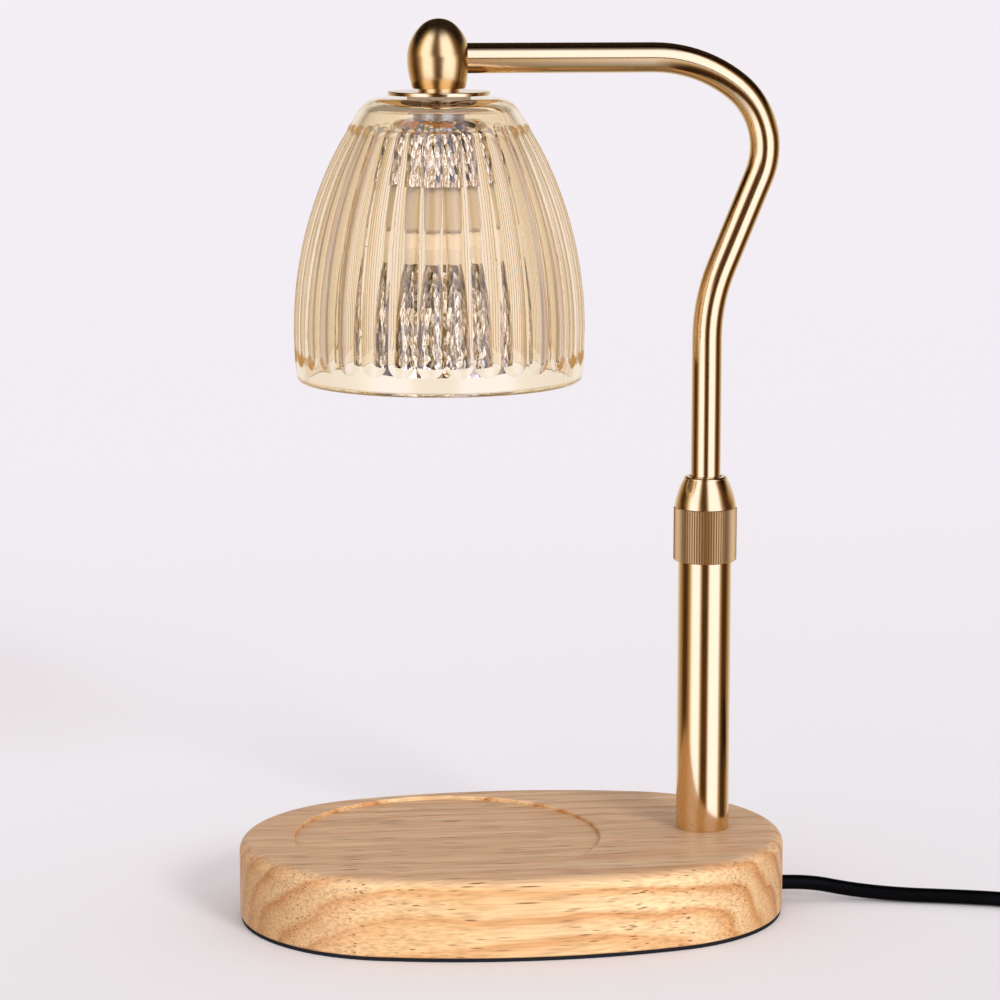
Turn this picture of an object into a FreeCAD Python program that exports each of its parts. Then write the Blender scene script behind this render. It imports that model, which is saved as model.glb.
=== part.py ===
# Candle warmer lamp: an oval wooden foot with a shallow ring for the candle, a two-part metal post that
# slides and turns in a collet, a bent arm, and a fluted glass shade that holds a twist-lock reflector bulb.
# Millimetres. +Z is up, +X runs from the candle to the post, and the origin is under the foot's centre.
import FreeCAD, Part
import math
import os

V = FreeCAD.Vector
UP = V(0, 0, 1)

# Wooden foot
FOOT_LENGTH = 185.6
FOOT_WIDTH = 120.2
FOOT_END_SHARE = 0.925
WOOD_HEIGHT = 26.0
FOOT_TOP_ROUND = 4.0
FOOT_BOTTOM_ROUND = 0.8
CANDLE_RING_FROM_END = 70.5
CANDLE_RING_RIM = 8.1
CANDLE_RING_DEPTH = 1.4
CANDLE_RING_ROUND = 0.6
PAD_THICKNESS = 1.2
PAD_INSET = 0.4
POCKET_RADIUS = 14.0
POCKET_DEPTH = 16.0
LEDGE_LENGTH = 8.5
LEDGE_WIDTH = 26.0
LEDGE_DEPTH = 8.1
LEDGE_WALL = 4.5

# Lower half of the post
POST_FROM_END = 27.1
LOWER_TUBE_RADIUS = 9.0
LOWER_TUBE_WALL = 1.0
LOWER_TUBE_LENGTH = 92.4
PRESS_GAP = 0.02
INSERT_HEIGHT = 8.0
FOOT_NIPPLE_RADIUS = 5.0
FOOT_NIPPLE_BORE = 3.5
FOOT_NIPPLE_TAIL = 1.2
WASHER_RADIUS = 11.0
WASHER_THICKNESS = 1.5
NUT_FLATS = 17.0
NUT_HEIGHT = 4.0
THREAD_GAP = 0.05

# Collet that clamps the arm
SHANK_LENGTH = 11.0
FLANGE_HEIGHT = 0.5
STUD_RADIUS = 8.6
STUD_HEIGHT = 14.0
GUIDE_GAP = 0.3
CONE_DEPTH = 8.0
CONE_MOUTH = 7.2
CONE_GAP = 0.05
COLLET_BELOW = 6.5
COLLET_WAIST = 3.0
COLLET_NOSE = 6.0
COLLET_NOSE_TIP = 5.9
COLLET_SLIT = 1.4
COLLET_GRIP = 0.05
NUT_CLEARANCE = 0.3
KNURL_RADIUS = 10.65
KNURL_CUT = 0.4
KNURL_COUNT = 76
KNURL_HEIGHT = 18.3
KNURL_CHAMFER = 0.4
CONE_BASE_RADIUS = 10.45
CONE_TOP_RADIUS = 7.3
NUT_CONE_HEIGHT = 10.4
NUT_CONE_BULGE = 0.45
NUT_EDGE_ROUND = 0.8
NUT_NOSE_GAP = 0.4

# Bent upper tube
ARM_RADIUS = 5.0
ARM_WALL = 1.0
ARM_HEIGHT = 289.3
WIDE_BEND_RADIUS = 45.0
WIDE_BEND_ANGLE = 38.5
TIGHT_BEND_RADIUS = 25.5
LEAN_ANGLE = 22.2
LEAN_LENGTH = 32.3
RETURN_BEND_RADIUS = 64.0
ARM_FOOT_Z = 76.0
BUSH_RISE = 3.0
BUSH_LENGTH = 8.0
BUSH_GAP = 0.05
CLIP_THICKNESS = 1.0
CLIP_RADIUS = 6.4
CLIP_GROOVE = 0.4
CLIP_OPENING = 4.0
CLIP_GAP = 0.2

# Head that carries the shade
ARM_REACH = 90.1
HEAD_RADIUS = 10.4
HEAD_TOP_RISE = 13.0
HEAD_CAP_RADIUS = 8.4
HEAD_SIDE_RADIUS = 28.0
HEAD_DROP = 9.8
HEAD_FACE = 9.0
HEAD_NECK_RADIUS = 6.8
HEAD_NECK_HEIGHT = 0.9
SOCKET_DEPTH = 5.0
WIRE_WAY_RADIUS = 3.2
DISC_RADIUS = 16.9
DISC_THICKNESS = 1.2
DISC_ROUND = 0.3
GASKET_RADIUS = 10.5
GASKET_THICKNESS = 0.9
NIPPLE_RADIUS = 4.95
NIPPLE_BORE = 3.2
NIPPLE_ABOVE = 5.4

# Fluted glass shade
SHADE_HEIGHT = 93.2
SHADE_ARC_RADIUS = 131.2
SHADE_WIDEST = 48.3
SHADE_WIDEST_RISE = 16.5
SHADE_TOP_FLAT = 20.0
SHADE_CEILING_FLAT = 19.0
GLASS_WALL = 3.4
GLASS_TOP_WALL = 3.2
RIM_ROUND = 1.5
SHADE_HOLE_GAP = 0.5
FLUTE_COUNT = 32
FLUTE_TURN = 2.0
FLUTE_TOOL_RADIUS = 7.0
FLUTE_LOW_RISE = 10.5
FLUTE_LOW_DEPTH = 1.7
FLUTE_HIGH_RISE = 82.0
FLUTE_HIGH_DEPTH = 1.0

# Lamp holder under the shade's top
RING_NUT_RADIUS = 8.5
RING_NUT_HEIGHT = 3.5
CUP_RADIUS = 16.5
CUP_WALL = 0.8
CUP_HEIGHT = 20.8
CUP_ROUND = 4.0
BRACKET_THICKNESS = 1.0
BRACKET_WIDTH = 13.0
BRACKET_HALF_SPAN = 8.5
BRACKET_DROP = 13.0
BRACKET_FOOT = 4.4
HOLDER_NUT_FLATS = 14.0
HOLDER_NUT_HEIGHT = 3.0
NIPPLE_TAIL = 1.5
HOLDER_RADIUS = 13.5
HOLDER_HEIGHT = 22.0
HOLDER_EDGE = 1.0
HOLDER_SCREW_Y = 11.0
SCREW_RADIUS = 1.25
SCREW_HEAD_RADIUS = 2.4
SCREW_HEAD_HEIGHT = 1.8
HOLDER_SCREW_DEPTH = 8.0

# Reflector bulb with a twist-lock base
BULB_GAP = 0.2
BULB_TWIST = 25.0
PIN_SPACING = 10.0
PIN_RADIUS = 1.6
PIN_HEAD_RADIUS = 2.5
PIN_LENGTH = 6.5
PIN_HEAD_HEIGHT = 2.0
PIN_SLOT_GAP = 0.3
BULB_BASE_HEIGHT = 10.5
BULB_BASE_RADIUS = 12.2
BULB_NECK_RADIUS = 10.8
BULB_RADIUS = 25.0
BULB_LENGTH = 45.8
BULB_RIM_HEIGHT = 5.5
BULB_RIM_STEP = 0.8
REFLECTOR_WALL = 1.3
REFLECTOR_BULGE = 3.1
LENS_THICKNESS = 1.8
LENS_INSET = 0.6
CAPSULE_RADIUS = 4.8
CAPSULE_LENGTH = 22.0

# Wires inside the post
WIRE_RADIUS = 0.9
WIRE_PITCH = 2.0
WIRE_BEND = 8.0
HEAD_WIRE_BEND = 5.0
BASE_WIRE_TOP_DROP = 1.0

# Mains cord, its in-line dimmer and its plug
CORD_DIAMETER = 5.0
CORD_Z = 6.5
FLOOR_GAP = 0.1
INNER_CORD_LENGTH = 14.0
CORD_BUSH_WALL = 1.0
CORD_BUSH_FLANGE = 1.2
CORD_BUSH_LIP = 1.4
CLAMP_WIDTH = 6.0
CLAMP_SPAN = 22.0
CLAMP_THICKNESS = 2.0
CLAMP_SCREW_Y = 7.6
CLAMP_SCREW_DEPTH = 7.0
FIT_GAP = 0.05
IN_LINE_Z = 8.05
BOOT_LENGTH = 20.0
BOOT_THICK_RADIUS = 5.0
BOOT_THIN_RADIUS = 3.4
DIMMER_LENGTH = 60.0
DIMMER_WIDTH = 26.0
DIMMER_CORNER = 9.0
DIMMER_EDGE = 3.0
DIMMER_WALL = 1.8
WHEEL_RADIUS = 7.5
WHEEL_WIDTH = 5.0
WHEEL_AXIS_RISE = 2.45
WHEEL_RIB_COUNT = 36
WHEEL_RIB_DEPTH = 0.3
WHEEL_SLOT_GAP = 0.5
AXLE_RADIUS = 1.5
AXLE_LENGTH = 17.0
AXLE_GAP = 0.05
AXLE_POST_WIDTH = 6.0
AXLE_POST_THICKNESS = 3.0
AXLE_POST_RISE = 1.0
BOARD_THICKNESS = 1.0
DIMMER_SCREW_X = 24.0
DIMMER_SCREW_RADIUS = 1.2
DIMMER_POST_RADIUS = 3.6
RELIEF_LENGTH = 28.0
RELIEF_THICK_RADIUS = 6.0
RELIEF_THIN_RADIUS = 3.2
PLUG_LENGTH = 30.0
PLUG_WIDTH = 23.0
PLUG_THICKNESS = 15.9
PLUG_EDGE = 3.0
PLUG_FULL_SHARE = 0.45
PLUG_NECK_SHARE = 0.72
BLADE_LENGTH = 17.0
BLADE_PITCH = 12.7
BLADE_THICKNESS = 1.5
BLADE_HEIGHT = 6.4
BLADE_ROOT = 6.0
BLADE_HOLE_RADIUS = 1.6
BLADE_HOLE_INSET = 4.0

# Route of the cord: X from the foot's end to the dimmer, then X from the dimmer's far boot to the coil
LEAD_ROUTE = [
    (0.0, 0.0, 6.5),
    (10.2, 0.0, 6.5),
    (24.2, -2.4, 3.8),
    (40.2, -6.6, 2.6),
    (59.2, -11.4, 2.6),
    (75.2, -16.4, 2.6),
    (90.2, -25.0, 2.6),
    (102.2, -36.5, 4.6),
    (118.2, -45.0, 8.05),
    (134.2, -45.0, 8.05),
]
FEED_ROUTE = [
    (0.0, -45.0, 8.05),
    (16.5, -45.0, 8.05),
    (29.9, -37.2, 6.2),
    (37.7, -23.8, 3.9),
    (38.5, -8.5, 2.6),
    (38.5, 7.0, 2.6),
]

# Coil of the cord that is put away: it winds in, climbs a layer and winds out again
COIL_RADIUS = 40.0
COIL_PITCH = 5.45
COIL_COUNT_IN = 14
COIL_COUNT_CLIMB = 2
COIL_COUNT_OUT = 13
COIL_TAIL = 14.0

# Places that follow from the sizes above
FOOT_END = FOOT_LENGTH / 2
FOOT_END_RADIUS = FOOT_END_SHARE * FOOT_WIDTH / 2
CANDLE_RING_X = CANDLE_RING_FROM_END - FOOT_END
CANDLE_RING_RADIUS = FOOT_WIDTH / 2 - CANDLE_RING_RIM
POST_X = FOOT_END - POST_FROM_END
SHADE_X = POST_X - ARM_REACH
FOOT_TOP = PAD_THICKNESS + WOOD_HEIGHT
FOOT_SIDE_RADIUS = (
    (FOOT_END - FOOT_END_RADIUS) ** 2 + (FOOT_WIDTH / 2) ** 2 - FOOT_END_RADIUS**2
) / (FOOT_WIDTH - 2 * FOOT_END_RADIUS)
POCKET_TOP = PAD_THICKNESS + POCKET_DEPTH
LEDGE_TOP = PAD_THICKNESS + LEDGE_DEPTH
LEDGE_END = FOOT_END - LEDGE_WALL
WASHER_BOTTOM = POCKET_TOP - WASHER_THICKNESS
FOOT_NUT_BOTTOM = WASHER_BOTTOM - NUT_HEIGHT
INSERT_TOP = FOOT_TOP + INSERT_HEIGHT
LOWER_TUBE_BORE = LOWER_TUBE_RADIUS - LOWER_TUBE_WALL
LOWER_TUBE_TOP = FOOT_TOP + LOWER_TUBE_LENGTH
FLANGE_TOP = LOWER_TUBE_TOP + FLANGE_HEIGHT
STUD_TOP = FLANGE_TOP + STUD_HEIGHT
COLLET_BOTTOM = STUD_TOP - COLLET_BELOW
COLLET_SHOULDER = STUD_TOP + COLLET_WAIST
COLLET_TOP = COLLET_SHOULDER + COLLET_NOSE
COLLET_BORE = ARM_RADIUS + COLLET_GRIP
COLLET_RADIUS = CONE_MOUTH - CONE_GAP
NUT_BOTTOM = FLANGE_TOP + NUT_CLEARANCE
KNURL_TOP = NUT_BOTTOM + KNURL_HEIGHT
NUT_TOP = KNURL_TOP + NUT_CONE_HEIGHT
BUSH_BOTTOM = ARM_FOOT_Z + BUSH_RISE
BUSH_TOP = BUSH_BOTTOM + BUSH_LENGTH
HEAD_BOTTOM = ARM_HEIGHT - HEAD_DROP
DISC_TOP = HEAD_BOTTOM - HEAD_NECK_HEIGHT
DISC_BOTTOM = DISC_TOP - DISC_THICKNESS
SHADE_TOP = DISC_BOTTOM - GASKET_THICKNESS
SHADE_BOTTOM = SHADE_TOP - SHADE_HEIGHT
SHADE_CEILING = SHADE_TOP - GLASS_TOP_WALL
RING_NUT_TOP = SHADE_CEILING - GASKET_THICKNESS
CUP_TOP = RING_NUT_TOP - RING_NUT_HEIGHT
BRACKET_TOP = CUP_TOP - CUP_WALL
HOLDER_NUT_TOP = BRACKET_TOP - BRACKET_THICKNESS
NIPPLE_BOTTOM = HOLDER_NUT_TOP - HOLDER_NUT_HEIGHT - NIPPLE_TAIL
HOLDER_TOP = BRACKET_TOP - BRACKET_DROP
HOLDER_BOTTOM = HOLDER_TOP - HOLDER_HEIGHT
BULB_TOP = HOLDER_BOTTOM - BULB_GAP
BULB_BASE_BOTTOM = BULB_TOP - BULB_BASE_HEIGHT
BULB_FRONT = BULB_TOP - BULB_LENGTH
BULB_RIM_TOP = BULB_FRONT + BULB_RIM_HEIGHT
CORD_RADIUS = CORD_DIAMETER / 2
INNER_CORD_END = FOOT_END - INNER_CORD_LENGTH
DIMMER_START = FOOT_END + LEAD_ROUTE[-1][0] + BOOT_LENGTH
DIMMER_END = DIMMER_START + DIMMER_LENGTH
DIMMER_X = (DIMMER_START + DIMMER_END) / 2
DIMMER_Y = LEAD_ROUTE[-1][1]
DIMMER_HALF_HEIGHT = IN_LINE_Z - FLOOR_GAP
WHEEL_Z = IN_LINE_Z + WHEEL_AXIS_RISE
FEED_START = DIMMER_END + BOOT_LENGTH
COIL_X = FEED_START + FEED_ROUTE[-1][0] - COIL_RADIUS
COIL_Y = FEED_ROUTE[-1][1] + CORD_DIAMETER
COIL_Z = CORD_RADIUS + FLOOR_GAP


def save(name, shape):
    """Writes one sub-part and prints how many solids it holds and their volume."""
    shape.exportStep(os.path.join("parts", name + ".step"))
    state = "" if shape.isValid() else " NOT VALID"
    print(f"{name}: {len(shape.Solids)} solid(s), {shape.Volume:.1f} mm3{state}")


def rod(radius, low, high, x=0.0, y=0.0):
    """An upright cylinder between two heights."""
    return Part.makeCylinder(radius, high - low, V(x, y, low))


def ring(outer, inner, low, high, x=0.0, y=0.0):
    """An upright tube between two heights."""
    return rod(outer, low, high, x, y).cut(rod(inner, low, high, x, y))


def lying_rod(radius, start, end, y, z):
    """A cylinder along X between two places."""
    return Part.makeCylinder(radius, end - start, V(start, y, z), V(1, 0, 0))


def box(low, high):
    """A block between two opposite corners."""
    return Part.makeBox(high[0] - low[0], high[1] - low[1], high[2] - low[2], V(*low))


def turned(x, start, *steps):
    """Turns a closed outline of (radius, height) points about the upright axis at x; four numbers mean an
    arc through the first pair to the second."""
    edges = []
    here = V(start[0], 0, start[1])
    for step in steps + (start,):
        there = V(step[-2], 0, step[-1])
        if len(step) == 4:
            edges.append(Part.Arc(here, V(step[0], 0, step[1]), there).toShape())
        elif here.distanceToPoint(there) > 1e-6:
            edges.append(Part.LineSegment(here, there).toShape())
        here = there
    solid = Part.Face(Part.Wire(edges)).revolve(V(0, 0, 0), UP, 360)
    solid.translate(V(x, 0, 0))
    return solid


def level_edges(shape, z):
    """The edges that lie at one height."""
    level = [e for e in shape.Edges if all(abs(v.Z - z) < 1e-4 for v in e.Vertexes)]
    return [e for e in level if abs(e.CenterOfMass.z - z) < 1e-3]


def prism(points, low, high):
    """An upright prism on a closed outline."""
    corners = [V(px, py, low) for px, py in points]
    return Part.Face(Part.makePolygon(corners + corners[:1])).extrude(V(0, 0, high - low))


def hexagon(flats, low, high, x):
    """A hexagon nut blank between two heights."""
    reach = flats / math.sqrt(3)
    angles = [math.radians(60 * k) for k in range(6)]
    points = [(x + reach * math.cos(angle), reach * math.sin(angle)) for angle in angles]
    return prism(points, low, high)


def pointed_ring(tip, root, count, low, high, x):
    """A prism whose rim has V-shaped teeth all round."""
    points = []
    for k in range(count):
        for radius, part in ((tip, 0.0), (root, 0.5)):
            angle = 2 * math.pi * (k + part) / count
            points.append((x + radius * math.cos(angle), radius * math.sin(angle)))
    return prism(points, low, high)


def foot_slab(inset, low, high):
    """The oval of the foot, drawn in by an inset, between two heights."""
    end_x = FOOT_END - FOOT_END_RADIUS
    side_y = FOOT_SIDE_RADIUS - FOOT_WIDTH / 2
    join = math.atan2(side_y, end_x)
    end_radius = FOOT_END_RADIUS - inset
    jx = end_x + end_radius * math.cos(join)
    jy = end_radius * math.sin(join)
    half_length = FOOT_END - inset
    half_width = FOOT_WIDTH / 2 - inset
    stops = [
        (jx, -jy), (half_length, 0), (jx, jy), (0, half_width),
        (-jx, jy), (-half_length, 0), (-jx, -jy), (0, -half_width), (jx, -jy),
    ]
    points = [V(px, py, low) for px, py in stops]
    arcs = [Part.Arc(*points[k : k + 3]).toShape() for k in (0, 2, 4, 6)]
    return Part.Face(Part.Wire(arcs)).extrude(V(0, 0, high - low))


def wood_foot():
    """The foot with its candle ring on top, and the wiring pocket and the cord's hole below."""
    wood = foot_slab(0, PAD_THICKNESS, FOOT_TOP)
    wood = wood.makeFillet(FOOT_TOP_ROUND, level_edges(wood, FOOT_TOP))
    wood = wood.makeFillet(FOOT_BOTTOM_ROUND, level_edges(wood, PAD_THICKNESS))
    floor = FOOT_TOP - CANDLE_RING_DEPTH
    edge = CANDLE_RING_RADIUS + CANDLE_RING_ROUND
    bend = CANDLE_RING_ROUND * (1 - math.sqrt(0.5))
    recess = turned(
        CANDLE_RING_X,
        (0, floor),
        (CANDLE_RING_RADIUS, floor),
        (CANDLE_RING_RADIUS, FOOT_TOP - CANDLE_RING_ROUND),
        (CANDLE_RING_RADIUS + bend, FOOT_TOP - bend, edge, FOOT_TOP),
        (edge, FOOT_TOP + 1),
        (0, FOOT_TOP + 1),
    )
    pocket = rod(POCKET_RADIUS, 0, POCKET_TOP, POST_X)
    ledge = box((POST_X, -LEDGE_WIDTH / 2, 0), (LEDGE_END, LEDGE_WIDTH / 2, LEDGE_TOP))
    bush = CORD_RADIUS + CORD_BUSH_WALL + FIT_GAP
    cord_hole = lying_rod(bush, LEDGE_END - 1, FOOT_END + 1, 0, CORD_Z)
    lip_seat = lying_rod(bush + CORD_BUSH_LIP, LEDGE_END - CORD_BUSH_FLANGE - FIT_GAP, LEDGE_END, 0, CORD_Z)
    post_hole = rod(FOOT_NIPPLE_RADIUS + GUIDE_GAP, POCKET_TOP - 1, FOOT_TOP + 1, POST_X)
    pilots = [
        rod(SCREW_RADIUS, LEDGE_TOP - 1, LEDGE_TOP + CLAMP_SCREW_DEPTH, clamp_x(), side * CLAMP_SCREW_Y)
        for side in (-1, 1)
    ]
    return wood.cut([recess, pocket, ledge, cord_hole, lip_seat, post_hole] + pilots)


def foot_pad():
    """The thin black pad under the foot, which also closes the wiring pocket."""
    return foot_slab(PAD_INSET, 0, PAD_THICKNESS)


def clamp_x():
    """Where the cord clamp sits along the cord: in the middle of the ledge."""
    return LEDGE_END - LEDGE_LENGTH / 2


def cord_bush():
    """The flush bush that lines the cord's hole, with its lip inside the foot."""
    outer = CORD_RADIUS + CORD_BUSH_WALL
    sleeve = lying_rod(outer, LEDGE_END, FOOT_END, 0, CORD_Z)
    lip = lying_rod(outer + CORD_BUSH_LIP, LEDGE_END - CORD_BUSH_FLANGE, LEDGE_END, 0, CORD_Z)
    bore = lying_rod(CORD_RADIUS + FIT_GAP, LEDGE_END - 2 * CORD_BUSH_FLANGE, FOOT_END + 1, 0, CORD_Z)
    return sleeve.fuse(lip).cut(bore).removeSplitter()


def cord_clamp():
    """The saddle that holds the cord against the ledge."""
    x = clamp_x()
    half = CLAMP_WIDTH / 2
    hump_half = CORD_RADIUS + CLAMP_THICKNESS
    span_half = CLAMP_SPAN / 2
    strap = box((x - half, -span_half, LEDGE_TOP - CLAMP_THICKNESS), (x + half, span_half, LEDGE_TOP))
    hump = lying_rod(hump_half, x - half, x + half, 0, CORD_Z)
    hump = hump.common(box((x - half, -hump_half, CORD_Z - hump_half), (x + half, hump_half, LEDGE_TOP)))
    channel = lying_rod(CORD_RADIUS + FIT_GAP, x - CLAMP_WIDTH, x + CLAMP_WIDTH, 0, CORD_Z)
    gap_half = CORD_RADIUS + FIT_GAP
    mouth = box((x - CLAMP_WIDTH, -gap_half, CORD_Z), (x + CLAMP_WIDTH, gap_half, LEDGE_TOP + 1))
    holes = [
        rod(SCREW_RADIUS + GUIDE_GAP, 0, FOOT_TOP, x, side * CLAMP_SCREW_Y) for side in (-1, 1)
    ]
    return strap.fuse(hump).cut([channel, mouth] + holes).removeSplitter()


def screw_up(head_top, depth, x, y, radius=SCREW_RADIUS):
    """A pan-head screw that points up, its head's bearing face at head_top."""
    head = turned(
        0,
        (0, head_top - SCREW_HEAD_HEIGHT),
        (SCREW_HEAD_RADIUS * 0.7, head_top - SCREW_HEAD_HEIGHT),
        (SCREW_HEAD_RADIUS, head_top - SCREW_HEAD_HEIGHT / 2),
        (SCREW_HEAD_RADIUS, head_top),
        (radius, head_top),
        (radius, head_top + depth - radius),
        (0, head_top + depth),
    )
    head.translate(V(x, y, 0))
    return head


def cord_clamp_screws():
    """The two screws of the cord clamp."""
    depth = CLAMP_THICKNESS + CLAMP_SCREW_DEPTH - FIT_GAP
    low = LEDGE_TOP - CLAMP_THICKNESS
    radius = SCREW_RADIUS - FIT_GAP
    screws = [screw_up(low, depth, clamp_x(), side * CLAMP_SCREW_Y, radius) for side in (-1, 1)]
    return Part.makeCompound(screws)


def inner_cord():
    """The end of the mains cord inside the foot."""
    return lying_rod(CORD_RADIUS, INNER_CORD_END, FOOT_LENGTH / 2, 0, CORD_Z)


def pair_of_wires(edges):
    """Two insulated wires side by side along one path in the XZ plane."""
    wires = []
    for side in (-1, 1):
        path = Part.Wire([e.copy() for e in edges])
        path.translate(V(0, side * WIRE_PITCH / 2, 0))
        wires.append(swept_round(path, WIRE_RADIUS))
    return Part.makeCompound(wires)


def swept_round(path, radius):
    """A round bar along a path of lines and arcs."""
    first = path.OrderedEdges[0]
    start = first.valueAt(first.FirstParameter)
    along = first.tangentAt(first.FirstParameter)
    if start.distanceToPoint(path.OrderedVertexes[0].Point) > 1e-6:
        start = path.OrderedVertexes[0].Point
        along = first.tangentAt(first.LastParameter) * -1
    section = Part.Wire(Part.Circle(start, along, radius).toShape())
    return path.makePipeShell([section], True, False)


def line(a, b):
    """A straight edge in the XZ plane between two (x, z) places."""
    return Part.LineSegment(V(a[0], 0, a[1]), V(b[0], 0, b[1])).toShape()


def base_wires():
    """The two wires that leave the cord's end and rise through the foot's hollow nipple."""
    turn = WIRE_BEND * (1 - math.sqrt(0.5))
    bend_end = (POST_X, CORD_Z + WIRE_BEND)
    bend_start = (POST_X + WIRE_BEND, CORD_Z)
    arc = Part.Arc(
        V(bend_start[0], 0, bend_start[1]),
        V(POST_X + turn, 0, CORD_Z + turn),
        V(bend_end[0], 0, bend_end[1]),
    ).toShape()
    top = INSERT_TOP - BASE_WIRE_TOP_DROP
    return pair_of_wires([line((INNER_CORD_END, CORD_Z), bend_start), arc, line(bend_end, (POST_X, top))])


def lower_tube():
    """The fixed lower tube of the post."""
    return ring(LOWER_TUBE_RADIUS, LOWER_TUBE_BORE, FOOT_TOP, LOWER_TUBE_TOP, POST_X)


def tube_foot_insert():
    """The threaded plug pressed into the lower tube's foot."""
    outer = LOWER_TUBE_BORE - PRESS_GAP
    return ring(outer, FOOT_NIPPLE_RADIUS + THREAD_GAP, FOOT_TOP, INSERT_TOP, POST_X)


def foot_nipple():
    """The hollow threaded rod that pulls the post down on the foot."""
    return ring(FOOT_NIPPLE_RADIUS, FOOT_NIPPLE_BORE, FOOT_NUT_BOTTOM - FOOT_NIPPLE_TAIL, INSERT_TOP, POST_X)


def foot_washer():
    """The washer under the foot's pocket ceiling."""
    return ring(WASHER_RADIUS, FOOT_NIPPLE_RADIUS + GUIDE_GAP, WASHER_BOTTOM, POCKET_TOP, POST_X)


def foot_nut():
    """The hexagon nut on the foot's nipple."""
    blank = hexagon(NUT_FLATS, FOOT_NUT_BOTTOM, WASHER_BOTTOM, POST_X)
    return blank.cut(rod(FOOT_NIPPLE_RADIUS + THREAD_GAP, FOOT_NUT_BOTTOM, WASHER_BOTTOM, POST_X))


def cone_seat_radius(z):
    """The radius of the collet seat inside the post head at a height."""
    slope = (CONE_MOUTH - ARM_RADIUS - GUIDE_GAP) / CONE_DEPTH
    return CONE_MOUTH - slope * (STUD_TOP - z)


def post_head():
    """The turned head of the lower tube: shank, flange, threaded stud and the seat of the collet."""
    bore = ARM_RADIUS + GUIDE_GAP
    shank = LOWER_TUBE_BORE - PRESS_GAP
    return turned(
        POST_X,
        (bore, LOWER_TUBE_TOP - SHANK_LENGTH),
        (shank, LOWER_TUBE_TOP - SHANK_LENGTH),
        (shank, LOWER_TUBE_TOP),
        (LOWER_TUBE_RADIUS, LOWER_TUBE_TOP),
        (LOWER_TUBE_RADIUS, FLANGE_TOP),
        (STUD_RADIUS, FLANGE_TOP),
        (STUD_RADIUS, STUD_TOP),
        (CONE_MOUTH, STUD_TOP),
        (bore, STUD_TOP - CONE_DEPTH),
    )


def collet():
    """The split double-cone ring that grips the arm."""
    body = turned(
        POST_X,
        (COLLET_BORE, COLLET_BOTTOM),
        (cone_seat_radius(COLLET_BOTTOM) - CONE_GAP, COLLET_BOTTOM),
        (COLLET_RADIUS, STUD_TOP),
        (COLLET_RADIUS, COLLET_SHOULDER),
        (COLLET_NOSE_TIP, COLLET_TOP),
        (COLLET_BORE, COLLET_TOP),
    )
    half = COLLET_SLIT / 2
    slit = box((POST_X, -half, COLLET_BOTTOM - 1), (POST_X + COLLET_RADIUS + 1, half, COLLET_TOP + 1))
    return body.cut(slit)


def collet_nut():
    """The knurled clamping nut with its polished cone."""
    thread = STUD_RADIUS + THREAD_GAP
    nose = ARM_RADIUS + NUT_NOSE_GAP
    edge = NUT_EDGE_ROUND * (1 - math.sqrt(0.5))
    side_top = NUT_TOP - NUT_EDGE_ROUND
    middle = ((CONE_BASE_RADIUS + CONE_TOP_RADIUS) / 2 + NUT_CONE_BULGE, (KNURL_TOP + side_top) / 2)
    cone = turned(
        POST_X,
        (nose, KNURL_TOP),
        (CONE_BASE_RADIUS, KNURL_TOP),
        middle + (CONE_TOP_RADIUS, side_top),
        (CONE_TOP_RADIUS - edge, NUT_TOP - edge, CONE_TOP_RADIUS - NUT_EDGE_ROUND, NUT_TOP),
        (nose, NUT_TOP),
    )
    grip = pointed_ring(KNURL_RADIUS, KNURL_RADIUS - KNURL_CUT, KNURL_COUNT, NUT_BOTTOM, KNURL_TOP, POST_X)
    ends = turned(
        POST_X,
        (0, NUT_BOTTOM),
        (KNURL_RADIUS - KNURL_CHAMFER, NUT_BOTTOM),
        (KNURL_RADIUS + FIT_GAP, NUT_BOTTOM + KNURL_CHAMFER + FIT_GAP),
        (KNURL_RADIUS + FIT_GAP, KNURL_TOP - KNURL_CHAMFER - FIT_GAP),
        (KNURL_RADIUS - KNURL_CHAMFER, KNURL_TOP),
        (0, KNURL_TOP),
    )
    gap = 2 * CONE_GAP
    hollow = turned(
        POST_X,
        (0, NUT_BOTTOM - 1),
        (thread, NUT_BOTTOM - 1),
        (thread, STUD_TOP + COLLET_WAIST / 2),
        (COLLET_RADIUS + gap, STUD_TOP + COLLET_WAIST / 2),
        (COLLET_RADIUS + gap, COLLET_SHOULDER),
        (COLLET_NOSE_TIP + gap, COLLET_TOP),
        (nose, COLLET_TOP + gap),
        (nose, NUT_TOP + 1),
        (0, NUT_TOP + 1),
    )
    return grip.common(ends).fuse(cone).cut(hollow).removeSplitter()


def heading(angle):
    """A direction in the XZ plane: 0 degrees is +X and 90 degrees is down."""
    return V(math.cos(math.radians(angle)), 0, -math.sin(math.radians(angle)))


def bend_edge(start, angle, turn, radius):
    """An arc from a place and heading through a turn, and the place where it ends."""
    side = 1 if turn > 0 else -1
    centre = start + heading(angle + 90 * side) * radius
    middle = centre - heading(angle + turn / 2 + 90 * side) * radius
    end = centre - heading(angle + turn + 90 * side) * radius
    return Part.Arc(start, middle, end).toShape(), end


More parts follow.
